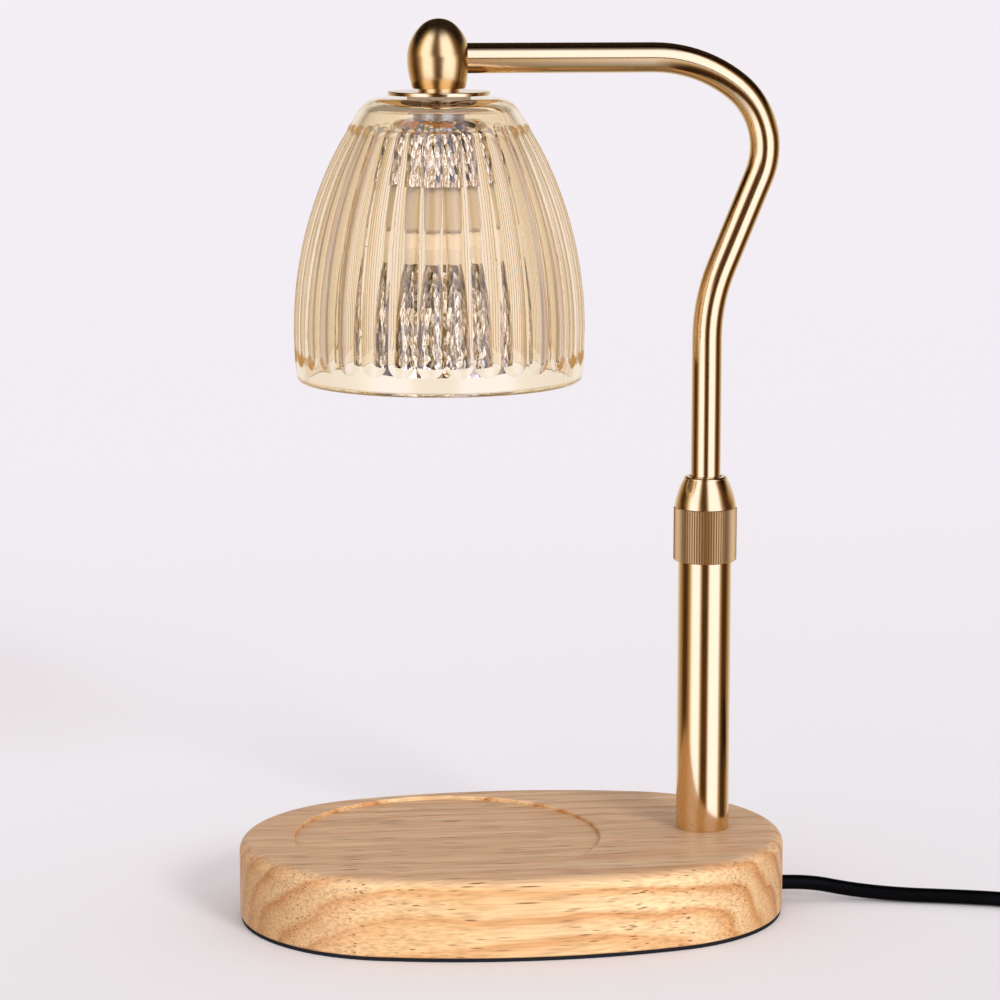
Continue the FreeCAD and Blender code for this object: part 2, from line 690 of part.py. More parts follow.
def arm_path(first_x, first_edges):
    """The bent centre line of the arm, after first_edges, which end level at first_x."""
    straight_turn = 90 + LEAN_ANGLE
    tight_turn = straight_turn - WIDE_BEND_ANGLE
    start = V(0, 0, ARM_HEIGHT)
    bends = []
    spot = start
    plan = ((0, WIDE_BEND_ANGLE, WIDE_BEND_RADIUS), (WIDE_BEND_ANGLE, tight_turn, TIGHT_BEND_RADIUS))
    for angle, turn, radius in plan:
        edge, spot = bend_edge(spot, angle, turn, radius)
        bends.append(edge)
    lean_end = spot + heading(straight_turn) * LEAN_LENGTH
    bends.append(Part.LineSegment(spot, lean_end).toShape())
    edge, foot = bend_edge(lean_end, straight_turn, -LEAN_ANGLE, RETURN_BEND_RADIUS)
    bends.append(edge)
    bends.append(Part.LineSegment(foot, V(foot.x, 0, ARM_FOOT_Z)).toShape())
    shift = POST_X - foot.x
    for bend in bends:
        bend.translate(V(shift, 0, 0))
    level = line((first_x, ARM_HEIGHT), (shift, ARM_HEIGHT))
    return first_edges + [level] + bends


def upper_tube():
    """The bent arm: level at the head, bent over and back to the post, with grooves for the bush's clips."""
    end_x = SHADE_X + HEAD_FACE - SOCKET_DEPTH
    path = Part.Wire(arm_path(end_x, []))
    tube = swept_round(path, ARM_RADIUS).cut(swept_round(path, ARM_RADIUS - ARM_WALL))
    grooves = [
        ring(ARM_RADIUS + 1, ARM_RADIUS - CLIP_GROOVE, low - FIT_GAP, low + CLIP_THICKNESS + FIT_GAP, POST_X)
        for low in clip_heights()
    ]
    return tube.cut(grooves)


def clip_heights():
    """The undersides of the two clips that hold the bush on the arm."""
    return (BUSH_BOTTOM - CLIP_GAP - CLIP_THICKNESS, BUSH_TOP + CLIP_GAP)


def bush_clips():
    """The two open spring clips in the arm's grooves, one below and one above the bush."""
    clips = []
    for low in clip_heights():
        high = low + CLIP_THICKNESS
        clip = ring(CLIP_RADIUS, ARM_RADIUS - CLIP_GROOVE + FIT_GAP, low, high, POST_X)
        gap_end = POST_X + CLIP_RADIUS + 1
        gap = box((POST_X, -CLIP_OPENING / 2, low - 1), (gap_end, CLIP_OPENING / 2, high + 1))
        clips.append(clip.cut(gap))
    return Part.makeCompound(clips)


def slide_bush():
    """The plastic bush that guides the arm in the lower tube, with three relief grooves along it."""
    bush = ring(LOWER_TUBE_BORE - BUSH_GAP, ARM_RADIUS + BUSH_GAP, BUSH_BOTTOM, BUSH_TOP, POST_X)
    grooves = []
    for k in range(3):
        angle = math.radians(60 + 120 * k)
        x = POST_X + LOWER_TUBE_BORE * math.cos(angle)
        y = LOWER_TUBE_BORE * math.sin(angle)
        grooves.append(rod(1.0, BUSH_BOTTOM - 1, BUSH_TOP + 1, x, y))
    return bush.cut(grooves)


def arm_wires():
    """The two wires from the lamp holder up through the head and down the arm."""
    turn = HEAD_WIRE_BEND * (1 - math.sqrt(0.5))
    rise_top = ARM_HEIGHT - HEAD_WIRE_BEND
    level_x = SHADE_X + HEAD_WIRE_BEND
    middle = V(SHADE_X + turn, 0, ARM_HEIGHT - turn)
    arc = Part.Arc(V(SHADE_X, 0, rise_top), middle, V(level_x, 0, ARM_HEIGHT)).toShape()
    first = [line((SHADE_X, HOLDER_TOP), (SHADE_X, rise_top)), arc]
    return pair_of_wires(arm_path(level_x, first))


def head_cap():
    """The egg-shaped head: a small cap arc, a side arc and a longer arc down to the neck."""
    cap_z = ARM_HEIGHT + HEAD_TOP_RISE - HEAD_CAP_RADIUS
    lift = cap_z - ARM_HEIGHT
    side = (HEAD_RADIUS**2 + lift**2 - HEAD_CAP_RADIUS**2) / (2 * (HEAD_RADIUS - HEAD_CAP_RADIUS))
    side_x = HEAD_RADIUS - side
    tilt = math.atan2(lift, -side_x)
    join = (side_x + side * math.cos(tilt), ARM_HEIGHT + side * math.sin(tilt))
    half = tilt / 2
    high = (math.pi / 2 + tilt) / 2
    low_x = HEAD_RADIUS - HEAD_SIDE_RADIUS
    drop = math.asin(HEAD_DROP / HEAD_SIDE_RADIUS)
    foot_radius = low_x + HEAD_SIDE_RADIUS * math.cos(drop)
    low_middle = (
        low_x + HEAD_SIDE_RADIUS * math.cos(drop / 2),
        ARM_HEIGHT - HEAD_SIDE_RADIUS * math.sin(drop / 2),
    )
    cap_middle = (HEAD_CAP_RADIUS * math.cos(high), cap_z + HEAD_CAP_RADIUS * math.sin(high))
    egg = turned(
        SHADE_X,
        (0, DISC_TOP),
        (HEAD_NECK_RADIUS, DISC_TOP),
        (HEAD_NECK_RADIUS, HEAD_BOTTOM),
        (foot_radius, HEAD_BOTTOM),
        low_middle + (HEAD_RADIUS, ARM_HEIGHT),
        (side_x + side * math.cos(half), ARM_HEIGHT + side * math.sin(half)) + join,
        cap_middle + (0, cap_z + HEAD_CAP_RADIUS),
    )
    face_x = SHADE_X + HEAD_FACE
    reach = HEAD_RADIUS + 1
    flat = box((face_x, -reach, ARM_HEIGHT - reach), (face_x + reach, reach, ARM_HEIGHT + reach))
    socket = lying_rod(ARM_RADIUS + FIT_GAP, face_x - SOCKET_DEPTH, face_x + reach, 0, ARM_HEIGHT)
    level_way = lying_rod(WIRE_WAY_RADIUS, SHADE_X, face_x, 0, ARM_HEIGHT)
    upright_way = rod(WIRE_WAY_RADIUS, DISC_TOP - 1, ARM_HEIGHT, SHADE_X)
    thread = rod(NIPPLE_RADIUS + THREAD_GAP, DISC_TOP - 1, DISC_TOP + NIPPLE_ABOVE, SHADE_X)
    return egg.cut([flat, socket, level_way, upright_way, thread])


def top_disc():
    """The thin polished disc on the shade."""
    hole = NIPPLE_RADIUS + GUIDE_GAP
    turn = DISC_ROUND * (1 - math.sqrt(0.5))
    return turned(
        SHADE_X,
        (hole, DISC_BOTTOM),
        (DISC_RADIUS, DISC_BOTTOM),
        (DISC_RADIUS, DISC_TOP - DISC_ROUND),
        (DISC_RADIUS - turn, DISC_TOP - turn, DISC_RADIUS - DISC_ROUND, DISC_TOP),
        (hole, DISC_TOP),
    )


def gasket(top):
    """A soft washer against the glass."""
    return ring(GASKET_RADIUS, NIPPLE_RADIUS + GUIDE_GAP, top - GASKET_THICKNESS, top, SHADE_X)


def shade_arc_centre():
    """The centre of the shade's side arc, as radius and height."""
    return SHADE_WIDEST - SHADE_ARC_RADIUS, SHADE_BOTTOM + SHADE_WIDEST_RISE


def shade_outline(inset, top, flat):
    """The outline of the shade's outer or inner form: a long side arc, a shoulder arc and a flat top."""
    centre_r, centre_z = shade_arc_centre()
    radius = SHADE_ARC_RADIUS - inset
    reach = flat - centre_r
    height = top - centre_z
    shoulder = (radius**2 - reach**2 - height**2) / (2 * (radius - height))
    shoulder_z = top - shoulder
    lean = math.atan2(shoulder_z - centre_z, reach)
    high = (lean + math.pi / 2) / 2
    foot = math.asin((SHADE_BOTTOM - centre_z) / radius)
    middle = (lean + foot) / 2
    join = (centre_r + radius * math.cos(lean), centre_z + radius * math.sin(lean))
    return [
        (0, SHADE_BOTTOM),
        (centre_r + radius * math.cos(foot), SHADE_BOTTOM),
        (centre_r + radius * math.cos(middle), centre_z + radius * math.sin(middle)) + join,
        (flat + shoulder * math.cos(high), shoulder_z + shoulder * math.sin(high), flat, top),
        (0, top),
    ]


def flute_spot(rise, depth):
    """Where the centre of the flutes' round cutter stands, as radius and height, to cut to a depth."""
    centre_r, centre_z = shade_arc_centre()
    angle = math.asin((rise - SHADE_WIDEST_RISE) / SHADE_ARC_RADIUS)
    reach = SHADE_ARC_RADIUS - depth + FLUTE_TOOL_RADIUS
    return V(centre_r + reach * math.cos(angle), 0, centre_z + reach * math.sin(angle))


def flute_tools():
    """The cutters of the flutes: each is a round rod with ball ends, bent to follow the shade's side."""
    low = flute_spot(FLUTE_LOW_RISE, FLUTE_LOW_DEPTH)
    middle = flute_spot((FLUTE_LOW_RISE + FLUTE_HIGH_RISE) / 2, (FLUTE_LOW_DEPTH + FLUTE_HIGH_DEPTH) / 2)
    high = flute_spot(FLUTE_HIGH_RISE, FLUTE_HIGH_DEPTH)
    hub = Part.Arc(low, middle, high).toShape().Curve.Center
    sweep = math.degrees((low - hub).getAngle(high - hub))
    low_way = V(hub.z - low.z, 0, low.x - hub.x).normalize()
    high_way = V(hub.z - high.z, 0, high.x - hub.x).normalize()
    face = Part.Face(Part.Wire(Part.Circle(low, low_way, FLUTE_TOOL_RADIUS).toShape()))
    rod_part = face.revolve(hub, V(0, -1, 0), sweep)
    low_ball = Part.makeSphere(FLUTE_TOOL_RADIUS, low, low_way * -1, 0, 90, 360)
    high_ball = Part.makeSphere(FLUTE_TOOL_RADIUS, high, high_way, 0, 90, 360)
    tool = rod_part.fuse([low_ball, high_ball])
    tools = []
    for k in range(FLUTE_COUNT):
        turned_tool = tool.copy()
        turned_tool.rotate(V(0, 0, 0), UP, 360 * k / FLUTE_COUNT + FLUTE_TURN)
        turned_tool.translate(V(SHADE_X, 0, 0))
        tools.append(turned_tool)
    return tools


def glass_shade():
    """The pressed glass shade: smooth inside, fluted outside, with a plain band at its rim."""
    outer = turned(SHADE_X, *shade_outline(0, SHADE_TOP, SHADE_TOP_FLAT))
    inner = turned(SHADE_X, *shade_outline(GLASS_WALL, SHADE_CEILING, SHADE_CEILING_FLAT))
    body = outer.cut(inner)
    body = body.makeFillet(RIM_ROUND, level_edges(body, SHADE_BOTTOM))
    hole = rod(NIPPLE_RADIUS + SHADE_HOLE_GAP, SHADE_CEILING - 1, SHADE_TOP + 1, SHADE_X)
    return body.cut(hole).cut(flute_tools())


def shade_ring_nut():
    """The round nut that holds the shade up against its disc."""
    low = RING_NUT_TOP - RING_NUT_HEIGHT
    return ring(RING_NUT_RADIUS, NIPPLE_RADIUS + THREAD_GAP, low, RING_NUT_TOP, SHADE_X)


def head_nipple():
    """The hollow threaded rod through the head, the shade and the lamp holder's bracket."""
    return ring(NIPPLE_RADIUS, NIPPLE_BORE, NIPPLE_BOTTOM, DISC_TOP + NIPPLE_ABOVE, SHADE_X)


def holder_cup():
    """The spun metal cup round the lamp holder."""
    low = CUP_TOP - CUP_HEIGHT
    turn = 1 - math.sqrt(0.5)
    inner = CUP_RADIUS - CUP_WALL
    inner_round = CUP_ROUND - CUP_WALL
    hole = NIPPLE_RADIUS + FIT_GAP
    return turned(
        SHADE_X,
        (inner, low),
        (CUP_RADIUS, low),
        (CUP_RADIUS, CUP_TOP - CUP_ROUND),
        (CUP_RADIUS - CUP_ROUND * turn, CUP_TOP - CUP_ROUND * turn, CUP_RADIUS - CUP_ROUND, CUP_TOP),
        (hole, CUP_TOP),
        (hole, BRACKET_TOP),
        (CUP_RADIUS - CUP_ROUND, BRACKET_TOP),
        (inner - inner_round * turn, BRACKET_TOP - inner_round * turn, inner, BRACKET_TOP - inner_round),
    )


def holder_bracket():
    """The folded strap that hangs the ceramic lamp holder from the nipple."""
    half = BRACKET_WIDTH / 2
    span = BRACKET_HALF_SPAN
    low = HOLDER_TOP
    bar = box((-half, -span, HOLDER_NUT_TOP), (half, span, BRACKET_TOP))
    pieces = []
    holes = [rod(NIPPLE_RADIUS + FIT_GAP, low, BRACKET_TOP + 1)]
    for side in (-1, 1):
        inner = side * (span - BRACKET_THICKNESS)
        leg_y = sorted((inner, side * span))
        foot_y = sorted((inner, side * (span + BRACKET_FOOT)))
        pieces.append(box((-half, leg_y[0], low), (half, leg_y[1], BRACKET_TOP)))
        pieces.append(box((-half, foot_y[0], low), (half, foot_y[1], low + BRACKET_THICKNESS)))
        hole_ends = (low - BRACKET_THICKNESS, low + 2 * BRACKET_THICKNESS)
        holes.append(rod(SCREW_RADIUS + GUIDE_GAP, *hole_ends, 0, side * HOLDER_SCREW_Y))
    strap = bar.fuse(pieces).cut(holes).removeSplitter()
    strap.translate(V(SHADE_X, 0, 0))
    return strap


def holder_nut():
    """The hexagon nut that holds the bracket and the cup on the nipple."""
    low = HOLDER_NUT_TOP - HOLDER_NUT_HEIGHT
    blank = hexagon(HOLDER_NUT_FLATS, low, HOLDER_NUT_TOP, SHADE_X)
    return blank.cut(rod(NIPPLE_RADIUS + THREAD_GAP, low, HOLDER_NUT_TOP, SHADE_X))


def pin_slot(side):
    """The curved slot in which one pin of the bulb turns to its lock."""
    spacing = PIN_SPACING / 2
    radius = PIN_HEAD_RADIUS + PIN_SLOT_GAP
    low = HOLDER_BOTTOM - 1
    high = BULB_TOP + PIN_LENGTH + PIN_SLOT_GAP
    facing = 0 if side > 0 else 180

    def spot(reach, angle):
        turn = math.radians(angle + facing)
        return V(reach * math.cos(turn), reach * math.sin(turn), low)

    corner = math.hypot(spacing, radius)
    lean = math.degrees(math.atan2(radius, spacing))
    stops = [
        spot(spacing + radius, -BULB_TWIST),
        spot(spacing + radius, -BULB_TWIST / 2),
        spot(spacing + radius, 0),
        spot(corner, lean),
        spot(spacing - radius, 0),
        spot(spacing - radius, -BULB_TWIST / 2),
        spot(spacing - radius, -BULB_TWIST),
        spot(corner, -BULB_TWIST - lean),
        spot(spacing + radius, -BULB_TWIST),
    ]
    arcs = [Part.Arc(*stops[k : k + 3]).toShape() for k in (0, 2, 4, 6)]
    return Part.Face(Part.Wire(arcs)).extrude(V(0, 0, high - low))


def lampholder():
    """The round ceramic lamp holder with two curved pin slots and two screw holes."""
    edge = HOLDER_EDGE
    body = turned(
        0,
        (0, HOLDER_BOTTOM),
        (HOLDER_RADIUS - edge, HOLDER_BOTTOM),
        (HOLDER_RADIUS, HOLDER_BOTTOM + edge),
        (HOLDER_RADIUS, HOLDER_TOP - edge),
        (HOLDER_RADIUS - edge, HOLDER_TOP),
        (0, HOLDER_TOP),
    )
    holes = [
        rod(SCREW_RADIUS, HOLDER_TOP - HOLDER_SCREW_DEPTH, HOLDER_TOP + 1, 0, side * HOLDER_SCREW_Y)
        for side in (-1, 1)
    ]
    body = body.cut(holes + [pin_slot(-1), pin_slot(1)])
    body.translate(V(SHADE_X, 0, 0))
    return body


def holder_screws():
    """The two screws that hold the bracket's feet on the ceramic."""
    screws = []
    for side in (-1, 1):
        screw = screw_up(0, BRACKET_THICKNESS + HOLDER_SCREW_DEPTH - FIT_GAP, 0, 0, SCREW_RADIUS - FIT_GAP)
        screw.rotate(V(0, 0, 0), V(1, 0, 0), 180)
        screw.translate(V(SHADE_X, side * HOLDER_SCREW_Y, HOLDER_TOP + BRACKET_THICKNESS))
        screws.append(screw)
    return Part.makeCompound(screws)


def bulb_base():
    """The bulb's ceramic base, with a flat on each side."""
    lip = (BULB_BASE_RADIUS - BULB_NECK_RADIUS) / 2
    shoulder = BULB_BASE_BOTTOM + BULB_BASE_HEIGHT / 2
    body = turned(
        0,
        (0, BULB_BASE_BOTTOM),
        (BULB_NECK_RADIUS, BULB_BASE_BOTTOM),
        (BULB_BASE_RADIUS, shoulder),
        (BULB_BASE_RADIUS, BULB_TOP - lip),
        (BULB_BASE_RADIUS - lip, BULB_TOP),
        (0, BULB_TOP),
    )
    flat_y = BULB_BASE_RADIUS - 1.5
    for side in (-1, 1):
        near, far = sorted((side * flat_y, side * (BULB_BASE_RADIUS + 1)))
        body = body.cut(box((-BULB_BASE_RADIUS, near, shoulder), (BULB_BASE_RADIUS, far, BULB_TOP + 1)))
    body.translate(V(SHADE_X, 0, 0))
    return body


def bulb_pins():
    """The two stepped contact pins."""
    pins = []
    neck_top = BULB_TOP + PIN_LENGTH - PIN_HEAD_HEIGHT
    for side in (-1, 1):
        pins.append(
            turned(
                SHADE_X + side * PIN_SPACING / 2,
                (0, BULB_TOP),
                (PIN_RADIUS, BULB_TOP),
                (PIN_RADIUS, neck_top),
                (PIN_HEAD_RADIUS, neck_top),
                (PIN_HEAD_RADIUS, BULB_TOP + PIN_LENGTH),
                (0, BULB_TOP + PIN_LENGTH),
            )
        )
    return Part.makeCompound(pins)


def bulb_reflector():
    """The bulb's bell-shaped reflector with its neck, its open front and its rim."""
    wall = REFLECTOR_WALL
    neck = CAPSULE_RADIUS + GUIDE_GAP
    side = BULB_RADIUS - BULB_RIM_STEP
    mean_radius = (BULB_NECK_RADIUS + side) / 2
    mean_height = (BULB_BASE_BOTTOM + BULB_RIM_TOP) / 2
    middle = (mean_radius + REFLECTOR_BULGE, mean_height + REFLECTOR_BULGE / 3)
    return turned(
        SHADE_X,
        (neck, BULB_BASE_BOTTOM),
        (neck, BULB_BASE_BOTTOM - 2 * wall),
        (BULB_NECK_RADIUS - wall, BULB_BASE_BOTTOM - 2 * wall),
        (middle[0] - wall, middle[1] - wall, side - wall, BULB_RIM_TOP),
        (side - wall, BULB_FRONT),
        (BULB_RADIUS, BULB_FRONT),
        (BULB_RADIUS, BULB_RIM_TOP),
        (side, BULB_RIM_TOP),
        middle + (BULB_NECK_RADIUS, BULB_BASE_BOTTOM),
    )


def bulb_front_glass():
    """The clear front disc of the bulb, a little domed."""
    radius = BULB_RADIUS - BULB_RIM_STEP - REFLECTOR_WALL - FIT_GAP
    low = BULB_FRONT + LENS_INSET
    return turned(
        SHADE_X,
        (0, low - LENS_INSET / 2),
        (radius / 2, low - LENS_INSET * 3 / 8, radius, low),
        (radius, low + LENS_THICKNESS),
        (0, low + LENS_THICKNESS),
    )


def bulb_capsule():
    """The small quartz capsule that holds the filament."""
    top = BULB_BASE_BOTTOM
    low = top - CAPSULE_LENGTH
    turn = CAPSULE_RADIUS * (1 - math.sqrt(0.5))
    return turned(
        SHADE_X,
        (0, low),
        (CAPSULE_RADIUS - turn, low + turn, CAPSULE_RADIUS, low + CAPSULE_RADIUS),
        (CAPSULE_RADIUS, top),
        (0, top),
    )


def rounded_route(points):
    """Straight runs joined by the largest tangent arcs that the runs allow, and the radii of those arcs."""
    spots = [V(*p) for p in points]
    edges = []
    radii = []
    here = spots[0]
    for before, corner, after in zip(spots, spots[1:], spots[2:]):
        back = (before - corner).normalize()
        ahead = (after - corner).normalize()
        turn = math.pi - back.getAngle(ahead)
        reach = 0.45 * min((corner - before).Length, (after - corner).Length)
        radius = reach / math.tan(turn / 2)
        inward = (back + ahead).normalize()
        middle = corner + inward * (radius / math.cos(turn / 2) - radius)
        start = corner + back * reach
        end = corner + ahead * reach
        edges.append(Part.LineSegment(here, start).toShape())
        edges.append(Part.Arc(start, middle, end).toShape())
        radii.append(radius)
        here = end
    edges.append(Part.LineSegment(here, spots[-1]).toShape())
    return edges, radii


def cord_tube(name, start_x, route):
    """A stretch of the cord along a route; prints its length, bends and how its volume compares."""
    edges, radii = rounded_route([(start_x + x, y, z) for x, y, z in route])
    path = Part.Wire(edges)
    tube = swept_round(path, CORD_RADIUS)
    share = tube.Volume / (math.pi * CORD_RADIUS**2 * path.Length)
    bends = " ".join(f"{r:.0f}" for r in radii)
    print(f"{name}: length {path.Length:.1f} mm, volume {share:.4f} of section times length")
    print(f"{name}: bend radii {bends}")
    return tube


def coil_knots():
    """The places and directions of the coil's path at each quarter turn."""
    total = COIL_COUNT_IN + COIL_COUNT_CLIMB + COIL_COUNT_OUT
    turning = COIL_COUNT_IN + COIL_COUNT_CLIMB / 2
    knots = []
    for k in range(total + 1):
        angle = math.pi / 2 * k
        inward = k if k <= turning else 2 * turning - k
        radius = COIL_RADIUS - COIL_PITCH * inward / 4
        climbed = min(max((k - COIL_COUNT_IN) / COIL_COUNT_CLIMB, 0.0), 1.0)
        outward = V(math.cos(angle), math.sin(angle), 0)
        spot = V(COIL_X, COIL_Y, COIL_Z + COIL_PITCH * climbed) + outward * radius
        along = V(-math.sin(angle), math.cos(angle), 0)
        drift = 0.0
        if 0 < k < total and k != turning:
            drift = -COIL_PITCH / (2 * math.pi * radius) * (1 if k < turning else -1)
        rise = 1.5 * COIL_PITCH / (math.pi * radius) if k == turning else 0.0
        knots.append((spot, (along + outward * drift + UP * rise).normalize()))
    return knots


def biarc(start, start_way, end, end_way):
    """Two arcs that join two places with the given directions."""
    span = end - start
    ways = start_way + end_way
    squeeze = 2 * (start_way.dot(end_way) - 1)
    cross = span.dot(ways)
    reach = (cross - math.sqrt(cross**2 - squeeze * span.dot(span))) / squeeze
    near = start + start_way * reach
    far = end - end_way * reach
    join = (near + far) * 0.5
    return [arc_from(start, start_way, join), arc_from(join, (far - near).normalize(), end)]


def arc_from(start, way, end):
    """The arc that leaves start along way and ends at end."""
    chord = end - start
    side = chord - way * chord.dot(way)
    half = way.getAngle(chord) / 2
    bow = chord.Length / 2 * math.tan(half)
    across = (side - chord * (side.dot(chord) / chord.dot(chord))).normalize()
    return Part.Arc(start, start + chord * 0.5 - across * bow, end).toShape()


def cord_coil():
    """The put-away length of the cord, wound in two layers as one tube."""
    knots = coil_knots()
    first, first_way = knots[0]
    last, last_way = knots[-1]
    edges = [Part.LineSegment(first - first_way * CORD_DIAMETER, first).toShape()]
    for (a, a_way), (b, b_way) in zip(knots, knots[1:]):
        edges += biarc(a, a_way, b, b_way)
    edges.append(Part.LineSegment(last, last + last_way * COIL_TAIL).toShape())
    path = Part.Wire(edges)
    tube = swept_round(path, CORD_RADIUS)
    share = tube.Volume / (math.pi * CORD_RADIUS**2 * path.Length)
    print(f"cord_coil: length {path.Length:.1f} mm, volume {share:.4f} of section times length")
    print(f"cord_coil: least gap to itself {least_gap(edges):.2f} mm")
    return tube


def least_gap(edges):
    """The smallest distance between two stretches of the coil, less the cord's diameter."""
    points = []
    walked = 0.0
    for edge in edges:
        steps = max(2, int(edge.Length / 2))
        for k in range(steps):
            share = k / steps
            spot = edge.valueAt(edge.FirstParameter * (1 - share) + edge.LastParameter * share)
            points.append((walked + edge.Length * share, spot.x, spot.y, spot.z))
        walked += edge.Length
    least = COIL_RADIUS
    for i, (at, x, y, z) in enumerate(points):
        for other, ox, oy, oz in points[i + 1 :]:
            if other - at > 6 * CORD_DIAMETER:
                least = min(least, math.sqrt((x - ox) ** 2 + (y - oy) ** 2 + (z - oz) ** 2))
    return least - CORD_DIAMETER


def in_line_cone(start, end, start_radius, end_radius, y):
    """A tapered sleeve along X at the height of the dimmer and the plug."""
    return Part.makeCone(start_radius, end_radius, end - start, V(start, y, IN_LINE_Z), V(1, 0, 0))


def dimmer_boots():
    """The two tapered boots where the cord enters and leaves the dimmer."""
    thin, thick = BOOT_THIN_RADIUS, BOOT_THICK_RADIUS
    left = in_line_cone(DIMMER_START - BOOT_LENGTH, DIMMER_START, thin, thick, DIMMER_Y)
    right = in_line_cone(DIMMER_END, FEED_START, thick, thin, DIMMER_Y)
    return Part.makeCompound([left, right])


def rounded_block(length, width, corner, low, high):
    """A block with rounded upright corners, centred on the origin."""
    block = box((-length / 2, -width / 2, low), (length / 2, width / 2, high))
    upright = [e for e in block.Edges if abs(e.Vertexes[0].Z - e.Vertexes[1].Z) > (high - low) / 2]
    return block.makeFillet(corner, upright)


def dimmer_shell(low, high, open_z, edge_z):
    """One half of the dimmer's case: a tray with a rounded outer edge, open at the joint face."""
    outer = rounded_block(DIMMER_LENGTH, DIMMER_WIDTH, DIMMER_CORNER, low, high)
    outer = outer.makeFillet(DIMMER_EDGE, level_edges(outer, edge_z))
    wall = DIMMER_WALL
    inner_low = low if open_z == low else low + wall
    inner_high = high if open_z == high else high - wall
    inner = rounded_block(
        DIMMER_LENGTH - 2 * wall, DIMMER_WIDTH - 2 * wall, DIMMER_CORNER - wall, inner_low, inner_high
    )
    return outer.cut(inner)


def dimmer_top_shell():
    """The dimmer's upper half with the slot of its wheel and two screw bosses."""
    high = IN_LINE_Z + DIMMER_HALF_HEIGHT
    shell = dimmer_shell(IN_LINE_Z, high, IN_LINE_Z, high)
    slot_x = math.sqrt((WHEEL_RADIUS + WHEEL_SLOT_GAP) ** 2 - (high - DIMMER_WALL - WHEEL_Z) ** 2)
    slot_y = WHEEL_WIDTH / 2 + WHEEL_SLOT_GAP
    slot = box((-slot_x, -slot_y, IN_LINE_Z), (slot_x, slot_y, high + 1))
    boss_top = high - DIMMER_WALL
    boss = 2 * DIMMER_SCREW_RADIUS
    bosses = [ring(boss, DIMMER_SCREW_RADIUS, IN_LINE_Z, boss_top, side * DIMMER_SCREW_X) for side in (-1, 1)]
    shell = shell.cut(slot).fuse(bosses).removeSplitter()
    shell.translate(V(DIMMER_X, DIMMER_Y, 0))
    return shell


def dimmer_bottom_shell():
    """The dimmer's lower half with two axle posts, two screw posts and their countersinks."""
    low = FLOOR_GAP
    shell = dimmer_shell(low, IN_LINE_Z, IN_LINE_Z, low)
    floor = low + DIMMER_WALL
    post_half = AXLE_POST_WIDTH / 2
    post_top = WHEEL_Z + AXLE_RADIUS + AXLE_POST_RISE
    axle_end = AXLE_LENGTH / 2
    posts = []
    for side in (-1, 1):
        near, far = sorted((side * (axle_end - AXLE_POST_THICKNESS), side * axle_end))
        posts.append(box((-post_half, near, floor), (post_half, far, post_top)))
        posts.append(rod(DIMMER_POST_RADIUS, floor, IN_LINE_Z, side * DIMMER_SCREW_X))
    axle_hole = Part.makeCylinder(AXLE_RADIUS + PRESS_GAP, AXLE_LENGTH, V(0, -axle_end, WHEEL_Z), V(0, 1, 0))
    holes = [axle_hole]
    for side in (-1, 1):
        x = side * DIMMER_SCREW_X
        holes.append(rod(DIMMER_SCREW_RADIUS + GUIDE_GAP, low - 1, IN_LINE_Z, x))
        holes.append(rod(SCREW_HEAD_RADIUS + GUIDE_GAP, low - 1, low + SCREW_HEAD_HEIGHT + GUIDE_GAP, x))
    shell = shell.fuse(posts).cut(holes).removeSplitter()
    shell.translate(V(DIMMER_X, DIMMER_Y, 0))
    return shell


def dimmer_screws():
    """The two screws that hold the dimmer's halves together."""
    head_top = FLOOR_GAP + SCREW_HEAD_HEIGHT + GUIDE_GAP
    depth = DIMMER_HALF_HEIGHT
    radius = DIMMER_SCREW_RADIUS - FIT_GAP
    places = [DIMMER_X + side * DIMMER_SCREW_X for side in (-1, 1)]
    return Part.makeCompound([screw_up(head_top, depth, x, DIMMER_Y, radius) for x in places])


def dimmer_board():
    """The dimmer's circuit board on the floor of its case."""
    low = FLOOR_GAP + DIMMER_WALL
    half_x = DIMMER_SCREW_X - DIMMER_POST_RADIUS - 1
    half_y = AXLE_LENGTH / 2 - AXLE_POST_THICKNESS - FIT_GAP
    board = box((-half_x, -half_y, low), (half_x, half_y, low + BOARD_THICKNESS))
    board.translate(V(DIMMER_X, DIMMER_Y, 0))
    return board


def dimmer_axle():
    """The pin on which the dimmer's wheel turns."""
    start = V(DIMMER_X, DIMMER_Y - AXLE_LENGTH / 2, WHEEL_Z)
    return Part.makeCylinder(AXLE_RADIUS, AXLE_LENGTH, start, V(0, 1, 0))


def dimmer_wheel():
    """The ribbed thumb wheel of the dimmer."""
    root = WHEEL_RADIUS - WHEEL_RIB_DEPTH
    half = WHEEL_WIDTH / 2
    wheel = pointed_ring(WHEEL_RADIUS, root, WHEEL_RIB_COUNT, -half, half, 0)
    wheel = wheel.cut(rod(AXLE_RADIUS + AXLE_GAP, -half, half))
    wheel.rotate(V(0, 0, 0), V(1, 0, 0), 90)
    wheel.translate(V(DIMMER_X, DIMMER_Y, WHEEL_Z))
    return wheel


def plug_start():
    """Where the coil's last run meets the plug's strain relief."""
    knot, way = coil_knots()[-1]
    return knot + way * COIL_TAIL


def plug_relief():
    """The tapered strain relief of the plug."""
    start = plug_start()
    return in_line_cone(start.x - RELIEF_LENGTH, start.x, RELIEF_THICK_RADIUS, RELIEF_THIN_RADIUS, start.y)


